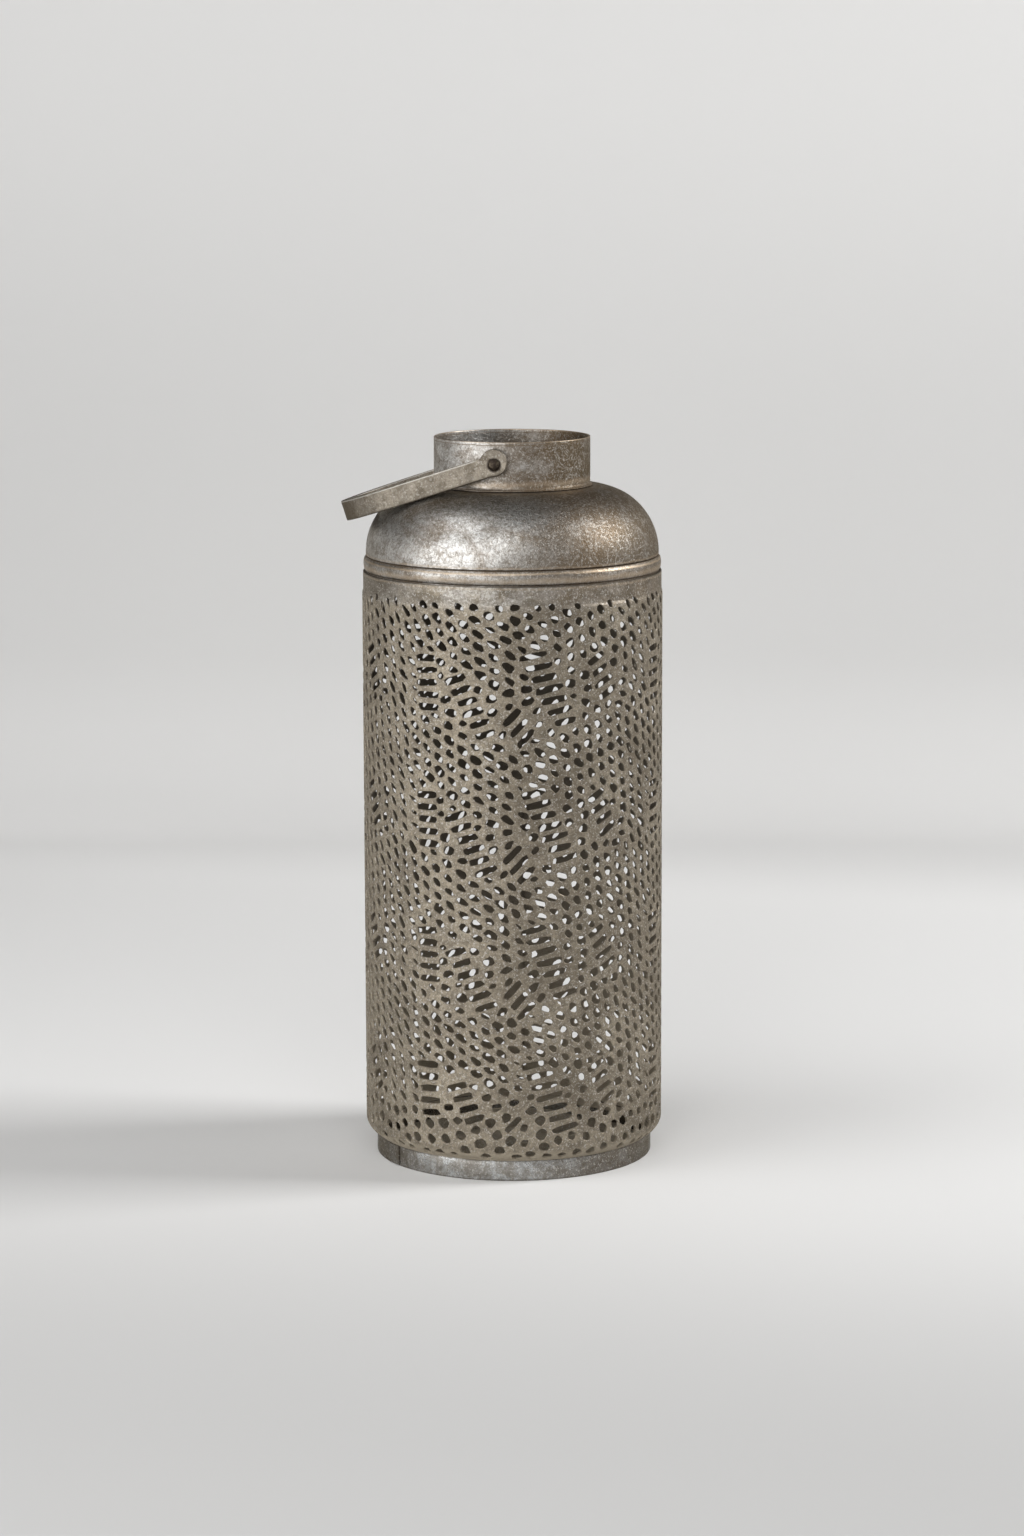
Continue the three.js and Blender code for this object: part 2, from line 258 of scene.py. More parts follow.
def seam_line_group():
    """A line round the piece at one height, with a ragged edge"""
    def wire(tree, given):
        links = [("Vector", given["Vector"]), ("Scale", 140.0), ("Detail", 5.0)]
        wobble = new_node(tree, "ShaderNodeTexNoise", links)
        centred = calculated(tree, "SUBTRACT", wobble.outputs["Fac"], 0.5)
        strayed = calculated(tree, "MULTIPLY", centred, given["Ragged"])
        split = new_node(tree, "ShaderNodeSeparateXYZ", [("Vector", given["Vector"])])
        away = calculated(tree, "SUBTRACT", split.outputs["Z"], given["Height"])
        distance = calculated(tree, "ABSOLUTE", calculated(tree, "ADD", away, strayed))
        return ramp(tree, distance, 0.0, given["Width"], 1.0, 0.0)

    inputs = (("Vector", (0, 0, 0)), ("Height", 0.3), ("Width", 0.001), ("Ragged", 0.001))
    return shared_group("Line at a height", inputs, wire)


class Finish:
    """Builds one material from layers of colour over a Principled shader"""

    def __init__(self, name, colour, metallic, roughness):
        self.material = bpy.data.materials.new(name)
        self.material.use_nodes = True
        self.tree = self.material.node_tree
        self.shader = self.tree.nodes["Principled BSDF"]
        self.place = self.tree.nodes.new("ShaderNodeTexCoord").outputs["Object"]
        self.colour = (*colour, 1.0)
        self.roughness = roughness
        self.metallic = metallic
        self.grazing = (0.55, 0.52, 0.47) if metallic else (1.0, 1.0, 1.0)
        self.height = None

    def mask(self, group, *links):
        """Mask of a shared node group"""
        return new_node(self.tree, "ShaderNodeGroup", links, node_tree=group).outputs["Mask"]

    def clouds(self, scale, low, high, offset=0.0, detail=7.0, flat=1.0):
        """Cloudy patches, moved by an offset and flattened along the axis"""
        shift = (offset, offset, offset)
        links = [("Vector", self.place), ("Location", shift), ("Scale", (1.0, 1.0, flat))]
        moved = new_node(self.tree, "ShaderNodeMapping", links).outputs["Vector"]
        limits = (("Low", low), ("High", high))
        return self.mask(clouds_group(), ("Vector", moved), ("Scale", scale), ("Detail", detail), *limits)

    def swirls(self, scale, width):
        """Thin curling marks, as a polishing pad leaves"""
        return self.mask(swirl_group(), ("Vector", self.place), ("Scale", scale), ("Width", width))

    def line(self, height, width, ragged):
        """A ragged line round the piece"""
        sizes = (("Height", height), ("Width", width), ("Ragged", ragged))
        return self.mask(seam_line_group(), ("Vector", self.place), *sizes)

    def speckle(self, dark, light, amount):
        """Fine dark and light grains over what is there; returns the dark grains"""
        grain = self.clouds(820.0, 0.46, 0.56, 0.1, 2.0)
        fleck = self.clouds(980.0, 0.56, 0.64, 0.5, 2.0)
        self.paint(dark, grain, amount)
        self.paint(light, fleck, amount)
        return grain

    def times(self, value, factor):
        return calculated(self.tree, "MULTIPLY", value, factor)

    def paint(self, colour, mask, amount=1.0, roughness=None, metallic=None):
        """Lays an amount of a colour over what is there, by a mask"""
        if amount != 1.0:
            mask = self.times(mask, amount)
        links = [(0, mask), (6, self.colour), (7, (*colour, 1.0))]
        self.colour = new_node(self.tree, "ShaderNodeMix", links, data_type="RGBA").outputs[2]
        if roughness is not None:
            self.roughness = self.blend(self.roughness, roughness, mask)
        if metallic is not None:
            self.metallic = self.blend(self.metallic, metallic, mask)

    def blend(self, under, over, mask):
        return new_node(self.tree, "ShaderNodeMix", [(0, mask), (2, under), (3, over)]).outputs[0]

    def emboss(self, height, distance):
        """A bump from a height, on top of any bump before it"""
        links = [("Height", height), ("Distance", distance), ("Strength", 1.0)]
        if self.height is not None:
            links.append(("Normal", self.height))
        self.height = new_node(self.tree, "ShaderNodeBump", links).outputs["Normal"]

    def done(self):
        """Joins the layers to the shader"""
        layers = [("Base Color", self.colour), ("Roughness", self.roughness), ("Metallic", self.metallic)]
        if self.height is not None:
            layers.append(("Normal", self.height))
        for label, value in layers:
            if hasattr(value, "is_output"):
                self.tree.links.new(value, self.shader.inputs[label])
            else:
                self.shader.inputs[label].default_value = value
        self.shader.inputs["Specular Tint"].default_value = (*self.grazing, 1.0)
        return self.material


def spun_marks(finish, scale):
    """Fine rings left by spinning, from a noise over the distance and the height alone"""
    height = new_node(finish.tree, "ShaderNodeSeparateXYZ", [("Vector", finish.place)]).outputs["Z"]
    distance = new_node(finish.tree, "ShaderNodeVectorMath", [(0, finish.place)], operation="LENGTH")
    ring = new_node(finish.tree, "ShaderNodeCombineXYZ", [("X", distance.outputs["Value"]), ("Z", height)])
    links = [("Vector", ring.outputs[0]), ("Scale", scale), ("Detail", 3.0), ("Roughness", 0.6)]
    return new_node(finish.tree, "ShaderNodeTexNoise", links).outputs["Fac"]


def along_axis(finish, axis, start, end):
    """Rises from 0 to 1 between two places along an axis"""
    split = new_node(finish.tree, "ShaderNodeSeparateXYZ", [("Vector", finish.place)])
    return ramp(finish.tree, split.outputs[axis], start, end)


def inside_radius(finish, full, none, centre=(0.0, 0.0, 0.0), plane=(1.0, 1.0, 0.0)):
    """Is 1 within a radius of an axis through the centre and fades to 0 at another"""
    way = finish.place
    for operation, value in (("SUBTRACT", centre), ("MULTIPLY", plane)):
        links = [(0, way), (1, value)]
        way = new_node(finish.tree, "ShaderNodeVectorMath", links, operation=operation).outputs["Vector"]
    radius = new_node(finish.tree, "ShaderNodeVectorMath", [(0, way)], operation="LENGTH")
    return ramp(finish.tree, radius.outputs["Value"], full, none, 1.0, 0.0, "LINEAR")


# Finishes

def antique_pewter(name, colours, lines, edges, shade, stain_and_shade):
    """Silvery pewter with tarnish clouds, brown patches, fine grain, dark seams and coppery edge lines that
    are partly worn edges and partly painted highlight. A painted shade darkens it along the height, and its
    right side and edge are darker with brown staining that is partly painted shade. A line or edge has its
    height, width, raggedness and amount, and the height shade and the side staining their start, end and
    amount."""
    finish = Finish(name, colours.silver, 1.0, 0.36)
    clouds = finish.clouds(26.0, 0.42, 0.60)
    streaks = finish.clouds(80.0, 0.46, 0.62, 0.3, 7.0, 3.0)
    brown = finish.clouds(38.0, 0.48, 0.62, 0.7, 7.0, 1.6)
    blots = finish.clouds(240.0, 0.50, 0.62, 0.2, 4.0)
    curls = finish.swirls(64.0, 0.035)
    dull_curls = finish.swirls(92.0, 0.04)
    finish.paint(colours.tarnish, clouds, 0.56, roughness=0.42)
    finish.paint(colours.tarnish, streaks, 0.4, roughness=0.42)
    # Painted shade along the piece's height, from the shade's start to its end
    finish.paint(colours.patina_and_shade, along_axis(finish, "Z", *shade[:2]), shade[2], roughness=0.45)
    finish.paint(colours.umber_and_shade, brown, 0.55, roughness=0.46)
    finish.paint(colours.patina_and_shade, blots, 0.35, roughness=0.5)
    # Brown staining on the right side, partly painted shade
    side = finish.times(along_axis(finish, "X", *stain_and_shade[:2]), finish.clouds(36.0, 0.16, 0.50, 0.5))
    finish.paint(colours.umber_and_shade, side, stain_and_shade[2], roughness=0.56)
    # Painted shade at the right edge
    rim = along_axis(finish, "X", 1.05 * stain_and_shade[1], 1.35 * stain_and_shade[1])
    finish.paint(colours.patina_and_shade, rim, 0.6 * stain_and_shade[2], roughness=0.5)
    finish.paint(colours.gleam_and_highlight, curls, 0.26, roughness=0.36)
    finish.paint(colours.umber_and_shade, dull_curls, 0.4, roughness=0.46)
    grain = finish.speckle(colours.patina_and_shade, colours.gleam_and_highlight, 0.32)
    # Coppery lines at the edges, partly worn edges and partly painted highlight
    for height, width, ragged, amount in edges:
        finish.paint(colours.copper_and_highlight, finish.line(height, width, ragged), amount, roughness=0.38)
    for height, width, ragged, amount in lines:
        groove = finish.line(height, width, ragged)
        finish.paint(colours.umber_and_shade, groove, amount, roughness=0.6, metallic=0.5)
    finish.emboss(spun_marks(finish, 900.0), 0.02 * MM)
    finish.emboss(grain, 0.05 * MM)
    return finish.done()


def pierced_sheet(colours, margin_foot, wall_top, sheet):
    """Warm grey, finely grained sheet, bare at the margin and sooty inside. Its right side is darker with
    brown staining that is partly painted shade, the margin has painted shade on its right and left sides,
    and the darkening inside towards the top is partly painted shade.
    """
    finish = Finish("Pierced sheet", colours.sheet, 0.8, 0.5)
    blots = finish.clouds(42.0, 0.44, 0.66, 0.2)
    mottle = finish.clouds(260.0, 0.46, 0.60, 0.6, 4.0)
    rust = finish.clouds(70.0, 0.54, 0.72, 0.9)
    finish.paint(colours.sheet_dark, blots, 0.45, roughness=0.56)
    finish.paint(colours.sheet_dark, mottle, 0.45, roughness=0.58)
    finish.paint(colours.patina_and_shade, rust, 0.35, metallic=0.6)
    # Brown staining on the right side of the wall, partly painted shade
    stain_and_shade = finish.times(along_axis(finish, "X", -30 * MM, 50 * MM), finish.clouds(30.0, 0.30, 0.60, 0.5))
    finish.paint(colours.patina_and_shade, stain_and_shade, 0.4)
    margin = along_axis(finish, "Z", margin_foot - 4 * MM, margin_foot + 3 * MM)
    clouds = finish.clouds(50.0, 0.36, 0.56, 0.4)
    finish.paint(colours.silver, finish.times(margin, clouds), 0.48, roughness=0.38, metallic=1.0)
    # Painted shade on the margin's right side in brown and its left side in grey
    for start, end, colour, amount in (
        (0 * MM, 50 * MM, colours.umber_and_shade, 0.6), (-10 * MM, -66 * MM, colours.tarnish, 0.9),
    ):
        side = finish.times(margin, along_axis(finish, "X", start, end))
        finish.paint(colour, side, amount)
    dull = finish.times(margin, finish.clouds(75.0, 0.46, 0.62, 0.3, 7.0, 2.0))
    finish.paint(colours.patina_and_shade, dull, 0.55)
    # Coppery line under the top edge, partly worn edge and partly painted highlight
    worn = finish.line(wall_top - 1.2 * MM, 0.8 * MM, 1 * MM)
    finish.paint(colours.copper_and_highlight, worn, 0.35)
    grain = finish.speckle(colours.sheet_dark, colours.gleam_and_highlight, 0.42)
    finish.paint(colours.soot_and_shade, finish.line(wall_top, 0.7 * MM, 0.8 * MM), 0.9)
    inside = inside_radius(finish, WALL_HIGH.y - sheet, WALL_HIGH.y - 0.15 * sheet)
    inside = finish.times(inside, along_axis(finish, "Z", margin_foot - 1 * MM, margin_foot - 4 * MM))
    finish.paint(colours.sheet, inside, 0.8, roughness=0.85, metallic=0.15)
    # Inside darker towards the top: sooty, and partly painted shade
    soot_and_shade = finish.times(inside, along_axis(finish, "Z", FOOT_HIGH.z + 10 * MM, FOOT_HIGH.z + 170 * MM))
    finish.paint(colours.soot_and_shade, soot_and_shade, 0.85, roughness=0.8, metallic=0.2)
    finish.emboss(grain, 0.06 * MM)
    return finish.done()


def foot_zinc(colours):
    """Blue-grey zinc with soft spangle, fine grain and brown spots, painted shade towards both ends, and
    dark lines at the top and bottom edges that are partly joints and partly painted contact shade
    """
    finish = Finish("Foot zinc", colours.zinc, 1.0, 0.24)
    clouds = finish.clouds(80.0, 0.44, 0.60, 0.4)
    blots = finish.clouds(230.0, 0.48, 0.60, 0.2, 4.0)
    spots = finish.clouds(190.0, 0.60, 0.68, 0.6)
    finish.paint(colours.tarnish, clouds, 0.72, roughness=0.36)
    finish.paint(colours.patina_and_shade, blots, 0.32, roughness=0.4)
    finish.paint(colours.patina_and_shade, spots, 0.6, roughness=0.6, metallic=0.5)
    # Painted shade towards the right and left ends of the ring
    for start, end in ((6 * MM, 56 * MM), (-26 * MM, -58 * MM)):
        finish.paint(colours.patina_and_shade, along_axis(finish, "X", start, end), 0.72)
    grain = finish.speckle(colours.tarnish, colours.gleam_and_highlight, 0.45)
    # Dark lines at the top and bottom edges, partly joints and partly painted contact shade
    for height in (FOOT_LOW.z, FOOT_HIGH.z):
        edge = finish.line(height, 1.2 * MM, 1.4 * MM)
        finish.paint(colours.soot_and_shade, edge, 0.95, metallic=0.3)
    finish.emboss(grain, 0.05 * MM)
    return finish.done()


def dusty_zinc(colours):
    """Dull zinc under a film of pale dust, for the pieces inside"""
    finish = Finish("Dusty zinc", colours.sheet, 0.15, 0.85)
    clouds = finish.clouds(60.0, 0.42, 0.62, 0.4)
    finish.paint(colours.tarnish, clouds, 0.5)
    grain = finish.speckle(colours.tarnish, colours.gleam_and_highlight, 0.3)
    finish.emboss(grain, 0.05 * MM)
    return finish.done()


def bail_away():
    """Places of the CAD handle's points from its pivot"""
    return [vert.co - PIVOT for vert in frame["nodes"]["bail_handle"].data.vertices]


def bail_reach():
    """How far the CAD handle reaches from its pivot"""
    return max(math.hypot(place.x, place.z) for place in bail_away())


def bail_droop():
    """Angle of the resting handle below level, from the far end of the CAD handle"""
    reach = bail_reach()
    far = [place for place in bail_away() if math.hypot(place.x, place.z) > reach - 0.2 * MM]
    middle = sum(far, Vector()) / len(far)
    return math.atan2(-middle.z, -middle.x)


def strap_metal(colours, half):
    """Worn warm grey with tarnish and fine grain, with painted shade at the bend, along the lower edge and
    in a ring round the rivet, and a painted highlight along the upper edge
    """
    finish = Finish("Strap metal", colours.strap, 0.9, 0.42)
    level = new_node(
        finish.tree, "ShaderNodeVectorRotate",
        [("Vector", finish.place), ("Center", PIVOT), ("Axis", (0.0, 1.0, 0.0)), ("Angle", bail_droop())],
    )
    finish.place = level.outputs["Vector"]
    clouds = finish.clouds(70.0, 0.42, 0.62, 0.15)
    brown = finish.clouds(150.0, 0.50, 0.64, 0.35)
    blots = finish.clouds(320.0, 0.50, 0.60, 0.2, 4.0)
    bend = along_axis(finish, "X", -0.78 * bail_reach(), -0.96 * bail_reach())
    finish.paint(colours.tarnish, clouds, 0.7, roughness=0.5)
    finish.paint(colours.patina_and_shade, brown, 0.5, roughness=0.55)
    finish.paint(colours.patina_and_shade, blots, 0.32)
    grain = finish.speckle(colours.patina_and_shade, colours.gleam_and_highlight, 0.22)
    # Painted shade at the bend, where the strap turns away
    finish.paint(colours.patina_and_shade, bend, 0.85, roughness=0.5)
    # Painted highlight along the upper edge, kept off the eye
    arm = along_axis(finish, "X", -1.2 * half, -2.0 * half)
    painted_highlight = finish.line(PIVOT.z + half - 0.5 * MM, 0.5 * MM, 0.4 * MM)
    finish.paint(colours.gleam_and_highlight, finish.times(painted_highlight, arm), 0.5)
    # Painted shade along the lower edge
    under = along_axis(finish, "Z", PIVOT.z - half + 1.6 * MM, PIVOT.z - half + 0.2 * MM)
    finish.paint(colours.soot_and_shade, under, 0.7)
    # Painted shade in a ring round the rivet head
    ring = inside_radius(finish, 3.3 * MM, 4.0 * MM, PIVOT, (1.0, 0.0, 1.0))
    finish.paint(colours.iron, ring, 0.85)
    finish.emboss(grain, 0.06 * MM)
    return finish.done()


def dark_iron(colours):
    """Brown-black oxide with worn high spots"""
    finish = Finish("Dark iron", colours.iron, 0.8, 0.36)
    worn = finish.clouds(420.0, 0.44, 0.62)
    finish.paint(colours.patina_and_shade, worn, 0.9, roughness=0.32)
    finish.emboss(worn, 0.08 * MM)
    return finish.done()


# Helpers for meshes

def clamp(value, low=0.0, high=1.0):
    return min(max(value, low), high)


def direction(angle):
    """Unit vector at an angle on the flat sheet"""
    return Vector((math.cos(angle), math.sin(angle), 0))


def verts_of(parts):
    return [part for part in parts if isinstance(part, bmesh.types.BMVert)]


def closed_loop(bm, points):
    """Adds points joined to a closed outline"""
    verts = [bm.verts.new(point) for point in points]
    for pair in zip(verts, verts[1:] + verts[:1]):
        bm.edges.new(pair)


def fill_between(bm, normal):
    """Fills the space between closed outlines"""
    bmesh.ops.triangle_fill(bm, use_beauty=True, use_dissolve=False, edges=bm.edges[:], normal=normal)


def thicken(bm, way):
    """Extrudes a flat mesh along a way"""
    grown = bmesh.ops.extrude_face_region(bm, geom=bm.faces[:], use_keep_orig=True)["geom"]
    bmesh.ops.translate(bm, verts=verts_of(grown), vec=way)


def point_tree(points):
    """A search tree that numbers points in their order"""
    tree = kdtree.KDTree(len(points))
    for number, point in enumerate(points):
        tree.insert(point, number)
    tree.balance()
    return tree


def arc(centre, spread, rise, start, end, steps):
    """Profile points (radius, height) on an arc between two angles in degrees"""
    points = []
    for step in range(steps + 1):
        angle = math.radians(start + (end - start) * step / steps)
        points.append((centre[0] + spread * math.cos(angle), centre[1] + rise * math.sin(angle)))
    return points


def profile_chain(bm, points, closed):
    """Points and edges of a profile of (radius, height) points"""
    verts = [bm.verts.new((radius, 0.0, height)) for radius, height in points]
    edges = [bm.edges.new(pair) for pair in zip(verts, verts[1:])]
    if closed:
        edges.append(bm.edges.new((verts[-1], verts[0])))
    return verts + edges


def spin_profile(points, turns, closed=True):
    """A profile of (radius, height) points turned about the lantern's axis"""
    bm = bmesh.new()
    bmesh.ops.spin(
        bm, geom=profile_chain(bm, points, closed), cent=(0, 0, 0), axis=(0, 0, 1), angle=2 * math.pi,
        steps=turns, use_merge=True, use_duplicate=False,
    )
    bmesh.ops.remove_doubles(bm, verts=bm.verts[:], dist=0.001 * MM)
    bmesh.ops.recalc_face_normals(bm, faces=bm.faces[:])
    return bm


def dent(bm, depth, scale, seed):
    """Shallow unevenness along the normals, within the piece's height"""
    bm.normal_update()
    low = min(vert.co.z for vert in bm.verts)
    high = max(vert.co.z for vert in bm.verts)
    for vert in bm.verts:
        vert.co += vert.normal * depth * noise.noise(vert.co * scale + Vector((seed, 0, 0)))
        vert.co.z = clamp(vert.co.z, low, high)


def smooth_object(bm, name, material):
    """An object with smooth faces"""
    mesh = bpy.data.meshes.new(name)
    bm.to_mesh(mesh)
    bm.free()
    mesh.polygons.foreach_set("use_smooth", [True] * len(mesh.polygons))
    mesh.materials.append(material)
    made = bpy.data.objects.new(name, mesh)
    bpy.context.scene.collection.objects.link(made)
    return made


def add_piece(bm, name, material, body, nodes):
    """Makes the object, rides it on its body and hides the CAD nodes it stands for"""
    piece = smooth_object(bm, name, material)
    piece.data.set_sharp_from_angle(angle=math.radians(SHARP_ANGLE))
    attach(piece, body)
    if nodes:
        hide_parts(*nodes)
    return piece


def material_named(name, maker, *arguments):
    """A shared material, made the first time it is asked for"""
    if name not in bpy.data.materials:
        maker(*arguments)
    return bpy.data.materials[name]


def pewter_named(name, *layers):
    return material_named(name, antique_pewter, name, *layers)


# The pierced wall on the unrolled sheet: x across from the front line, y up, in millimetres

def sheet_half_length():
    """Half of the way round the wall"""
    return math.pi * WALL_HIGH.y / MM


def margin_foot(sizes):
    """Where the plain margin begins"""
    return (WALL_HIGH.z - sizes.margin_height) / MM


def column_motif(column):
    return EVEN_LADDERS if column % 2 == 0 else ODD_LADDERS


def wrapped(across):
    """A place across, brought back onto the sheet"""
    half = sheet_half_length()
    return (across + half) % (2 * half) - half


def long_slots(sizes, piercing):
    """Middle, lean and length of every long slot"""
    pitch = 2 * sheet_half_length() / piercing.columns
    top = margin_foot(sizes)
    first = -(piercing.columns // 2)
    slots = []
    for column in range(first, first + piercing.columns):
        for ladder in column_motif(column):
            for row in range(5):
                for number in range(ladder.count):
                    step = number - (ladder.count - 1) / 2
                    across = wrapped(ladder.across + column * pitch + step * ladder.shift)
                    up = top - ladder.drop - row * piercing.row_spacing - step * ladder.spacing
                    slots.append((Vector((across, up, 0)), math.radians(ladder.tilt), ladder.length))
    return slots


def lean_field(sizes, piercing):
    """A function that gives the lean of a small hole at a place and how far it is drawn out"""
    pair = 4 * sheet_half_length() / piercing.columns
    top = margin_foot(sizes)
    marks = []
    for turn in range(-2, 3):
        for row in range(-1, 6):
            for lean in LEANS:
                place = Vector((lean.across + turn * pair, top - lean.drop - row * piercing.row_spacing, 0))
                marks.append((place, math.radians(lean.angle), lean.stretch))
    tree = point_tree([place for place, _, _ in marks])

    def lean_at(place):
        along = 0.0
        across = 0.0
        stretch = 0.0
        total = 0.0
        for _, number, distance in tree.find_n(place, 5):
            _, angle, drawn = marks[number]
            weight = math.exp(-((distance / LEAN_RANGE) ** 2))
            along += weight * math.cos(2 * angle)
            across += weight * math.sin(2 * angle)
            stretch += weight * drawn
            total += weight
        return 0.5 * math.atan2(across, along), stretch / total

    return lean_at


def slot_tree(slots):
    """The slots as short chains of points, to keep small holes clear of them"""
    shares = (-0.42, -0.21, 0.0, 0.21, 0.42)
    points = []
    for middle, lean, long in slots:
        points += [middle + direction(lean) * share * long for share in shares]
    return point_tree(points)


def bare_places(places, clear, half, low, high, reach):
    """Places further than a reach from every small hole and nearly so from the slots"""
    tree = point_tree(places)
    found = []
    step = 0.4 * reach
    for row in range(int((high - low) / step)):
        for number in range(int(2 * half / step)):
            place = Vector((-half + number * step, high - row * step, 0))
            lone = tree.find(place)[2] > reach and clear.find(place)[2] > 0.85 * reach
            if lone and all((place - other).length > reach for other in found):
                found.append(place)
    return found


def small_holes(piercing, slots, lean_at, low, high, sparse):
    """Middles of the small holes: slanted rows that push each other and the slots apart.
    Below the sparse height they stand further apart."""
    edge_margin = 5.0
    thinning_height = 16.0
    rounds = 26
    filling_rounds = (8, 15)
    half = sheet_half_length() - edge_margin
    clear = slot_tree(slots)

    def pitch_at(up):
        share = clamp((sparse - up) / thinning_height)
        return piercing.dot_pitch * (1 + 0.2 * share)

    places = []
    flow = Matrix.Rotation(math.radians(piercing.flow), 3, "Z")
    pitch = piercing.dot_pitch
    run = 1.16 * pitch
    gap = 0.75 * pitch
    reach = int((half + high) / gap)
    for row in range(-reach, reach):
        for number in range(-reach, reach):
            place = flow @ Vector((run * (number + 0.5 * (row % 2)), gap * row, 0))
            place.y += 0.5 * high
            inside = abs(place.x) < half and low < place.y < high
            thinned = number % 3 == 0 and place.y < sparse - 6
            if inside and not thinned and clear.find(place)[2] > 0.56 * pitch:
                places.append(place)
    for turn in range(rounds):
        if turn in filling_rounds:
            places += bare_places(places, clear, half, low, high, 0.8 * piercing.dot_pitch)
        tree = point_tree(places)
        pushed = []
        for number, place in enumerate(places):
            pitch = pitch_at(place.y)
            reach = 1.1 * pitch
            lean, stretch = lean_at(place)
            along = direction(lean)
            move = Vector((0, 0, 0))
            for other, near, distance in tree.find_range(place, 1.3 * reach):
                if near != number and distance > 1e-6:
                    gap = place - other
                    run = gap.dot(along)
                    felt = math.sqrt(run ** 2 / stretch + (distance ** 2 - run ** 2) * stretch)
                    move += gap / distance * max(reach - felt, 0.0) * 0.25
            keep = 0.68 * pitch
            for other, _, distance in clear.find_range(place, keep):
                move += (place - other) / max(distance, 1e-6) * (keep - distance) * 0.3
            spot = place + 0.5 * move
            spot.x = clamp(spot.x, -half, half)
            spot.y = clamp(spot.y, low, high)
            pushed.append(spot)
        places = pushed
    return places


class Hole:
    """One hole on the flat sheet: a rounded oblong, more or less square and tapered"""

    def __init__(self, middle, lean, length, height, squareness, taper, sides):
        self.middle = middle
        self.lean = lean
        self.length = length
        self.height = height
        self.squareness = squareness
        self.taper = taper
        self.sides = sides

    def bulk(self):
        """Radius that its outline keeps from its middle line"""
        return 0.52 * min(self.height, self.length) * (1 + 0.5 * abs(self.taper))

    def chain(self):
        """Three points of its middle line"""
        reach = max(0.52 * self.length - self.bulk(), 0.0)
        along = direction(self.lean) * reach
        return (self.middle - along, self.middle, self.middle + along)

    def shrink(self, amount):
        """Draws its outline in by an amount"""
        self.length *= max(1 - 2 * amount / self.length, 0.3)
        self.height *= max(1 - 2 * amount / self.height, 0.3)

    def draw(self, bm, draws):
        """Adds its outline, slightly uneven"""
        turn = Matrix.Rotation(self.lean, 3, "Z")
        points = []
        for side in range(self.sides):
            angle = 2 * math.pi * (side + 0.5) / self.sides
            run = math.copysign(abs(math.cos(angle)) ** self.squareness, math.cos(angle))
            rise = math.copysign(abs(math.sin(angle)) ** self.squareness, math.sin(angle))
            rise *= 1 + self.taper * run
            uneven = 1 + draws.uniform(-0.1, 0.1)
            offset = Vector((0.5 * self.length * run, 0.5 * self.height * rise, 0)) * uneven
            points.append(self.middle + turn @ offset)
        closed_loop(bm, points)


def leave_bridges(holes, fixed, bridge):
    """Shrinks holes, but not the first fixed ones, until a bridge of metal is left round each"""
    rounds = 4
    least_size = 1.0
    for _ in range(rounds):
        tree = point_tree([point for hole in holes for point in hole.chain()])
        widest = max(hole.bulk() for hole in holes)
        lacks = [0.0] * len(holes)
        for number in range(fixed, len(holes)):
            hole = holes[number]
            for point in hole.chain():
                for _, entry, distance in tree.find_range(point, hole.bulk() + widest + bridge):
                    other = entry // 3
                    if other != number:
                        share = 1.0 if other < fixed else 0.5
                        lack = hole.bulk() + holes[other].bulk() + bridge - distance
                        lacks[number] = max(lacks[number], share * lack)
        for hole, lack in zip(holes, lacks):
            if lack > 0:
                hole.shrink(lack)
    return holes[:fixed] + [hole for hole in holes[fixed:] if min(hole.height, hole.length) > least_size]


def border_loop(bm, half, low, high):
    """The sheet's edge, with points close enough to roll it round"""
    spacing = 5.0
    corners = [Vector((x, y, 0)) for x, y in ((-half, low), (half, low), (half, high), (-half, high))]
    points = []
    for start, end in zip(corners, corners[1:] + corners[:1]):
        steps = int((end - start).length / spacing)
        points += [start.lerp(end, step / steps) for step in range(steps)]
    closed_loop(bm, points)


class WallRoll:
    """Rolls the flat sheet to the wall's shape: curve at the foot, straight, drawn-in margin"""

    def __init__(self, sizes, piercing):
        self.radius = WALL_HIGH.y
        self.curve = sizes.bottom_curve
        self.skirt = FOOT_HIGH.y - sizes.sheet - CLEARANCE
        self.centre = self.radius - self.curve
        slope = math.acos((FOOT_HIGH.y - sizes.sheet - self.centre) / self.curve)
        self.bend = FOOT_HIGH.z + CLEARANCE + self.curve * math.sin(slope)
        self.end = math.acos((self.skirt - self.centre) / self.curve)
        skirt_height = 4 * MM
        self.low = self.bend - self.curve * self.end - skirt_height
        self.high = WALL_HIGH.z
        self.margin = WALL_HIGH.z - sizes.margin_height
        self.inset = sizes.margin_inset
        self.front = piercing.front_turn

    def section(self, up):
        """Radius, height and outward direction of the wall at a length up the sheet"""
        if up > self.bend:
            step_start = 1.2 * MM
            step_height = 1.4 * MM
            share = clamp((up - self.margin + step_start) / step_height)
            return self.radius - self.inset * share * share * (3 - 2 * share), up, (1.0, 0.0)
        angle = min((self.bend - up) / self.curve, self.end)
        past = max(self.bend - self.curve * self.end - up, 0.0)
        radius = self.centre + self.curve * math.cos(angle)
        height = self.bend - self.curve * math.sin(angle) - past
        return radius, height, (1.0, 0.0) if past else (math.cos(angle), -math.sin(angle))

    def place(self, co):
        """Where a point of the flat sheet comes to lie"""
        radius, height, outward = self.section(co.y * MM)
        radius += co.z * MM * outward[0]
        height += co.z * MM * outward[1]
        turn = self.front + co.x * MM / self.radius
        return Vector((radius * math.sin(turn), -radius * math.cos(turn), height))


def rear_share(across):
    """Holes of the rear half are a little finer"""
    front_end = 0.48
    change = 0.08
    finer = 0.15
    return 1 - finer * clamp((abs(across) / sheet_half_length() - front_end) / change)


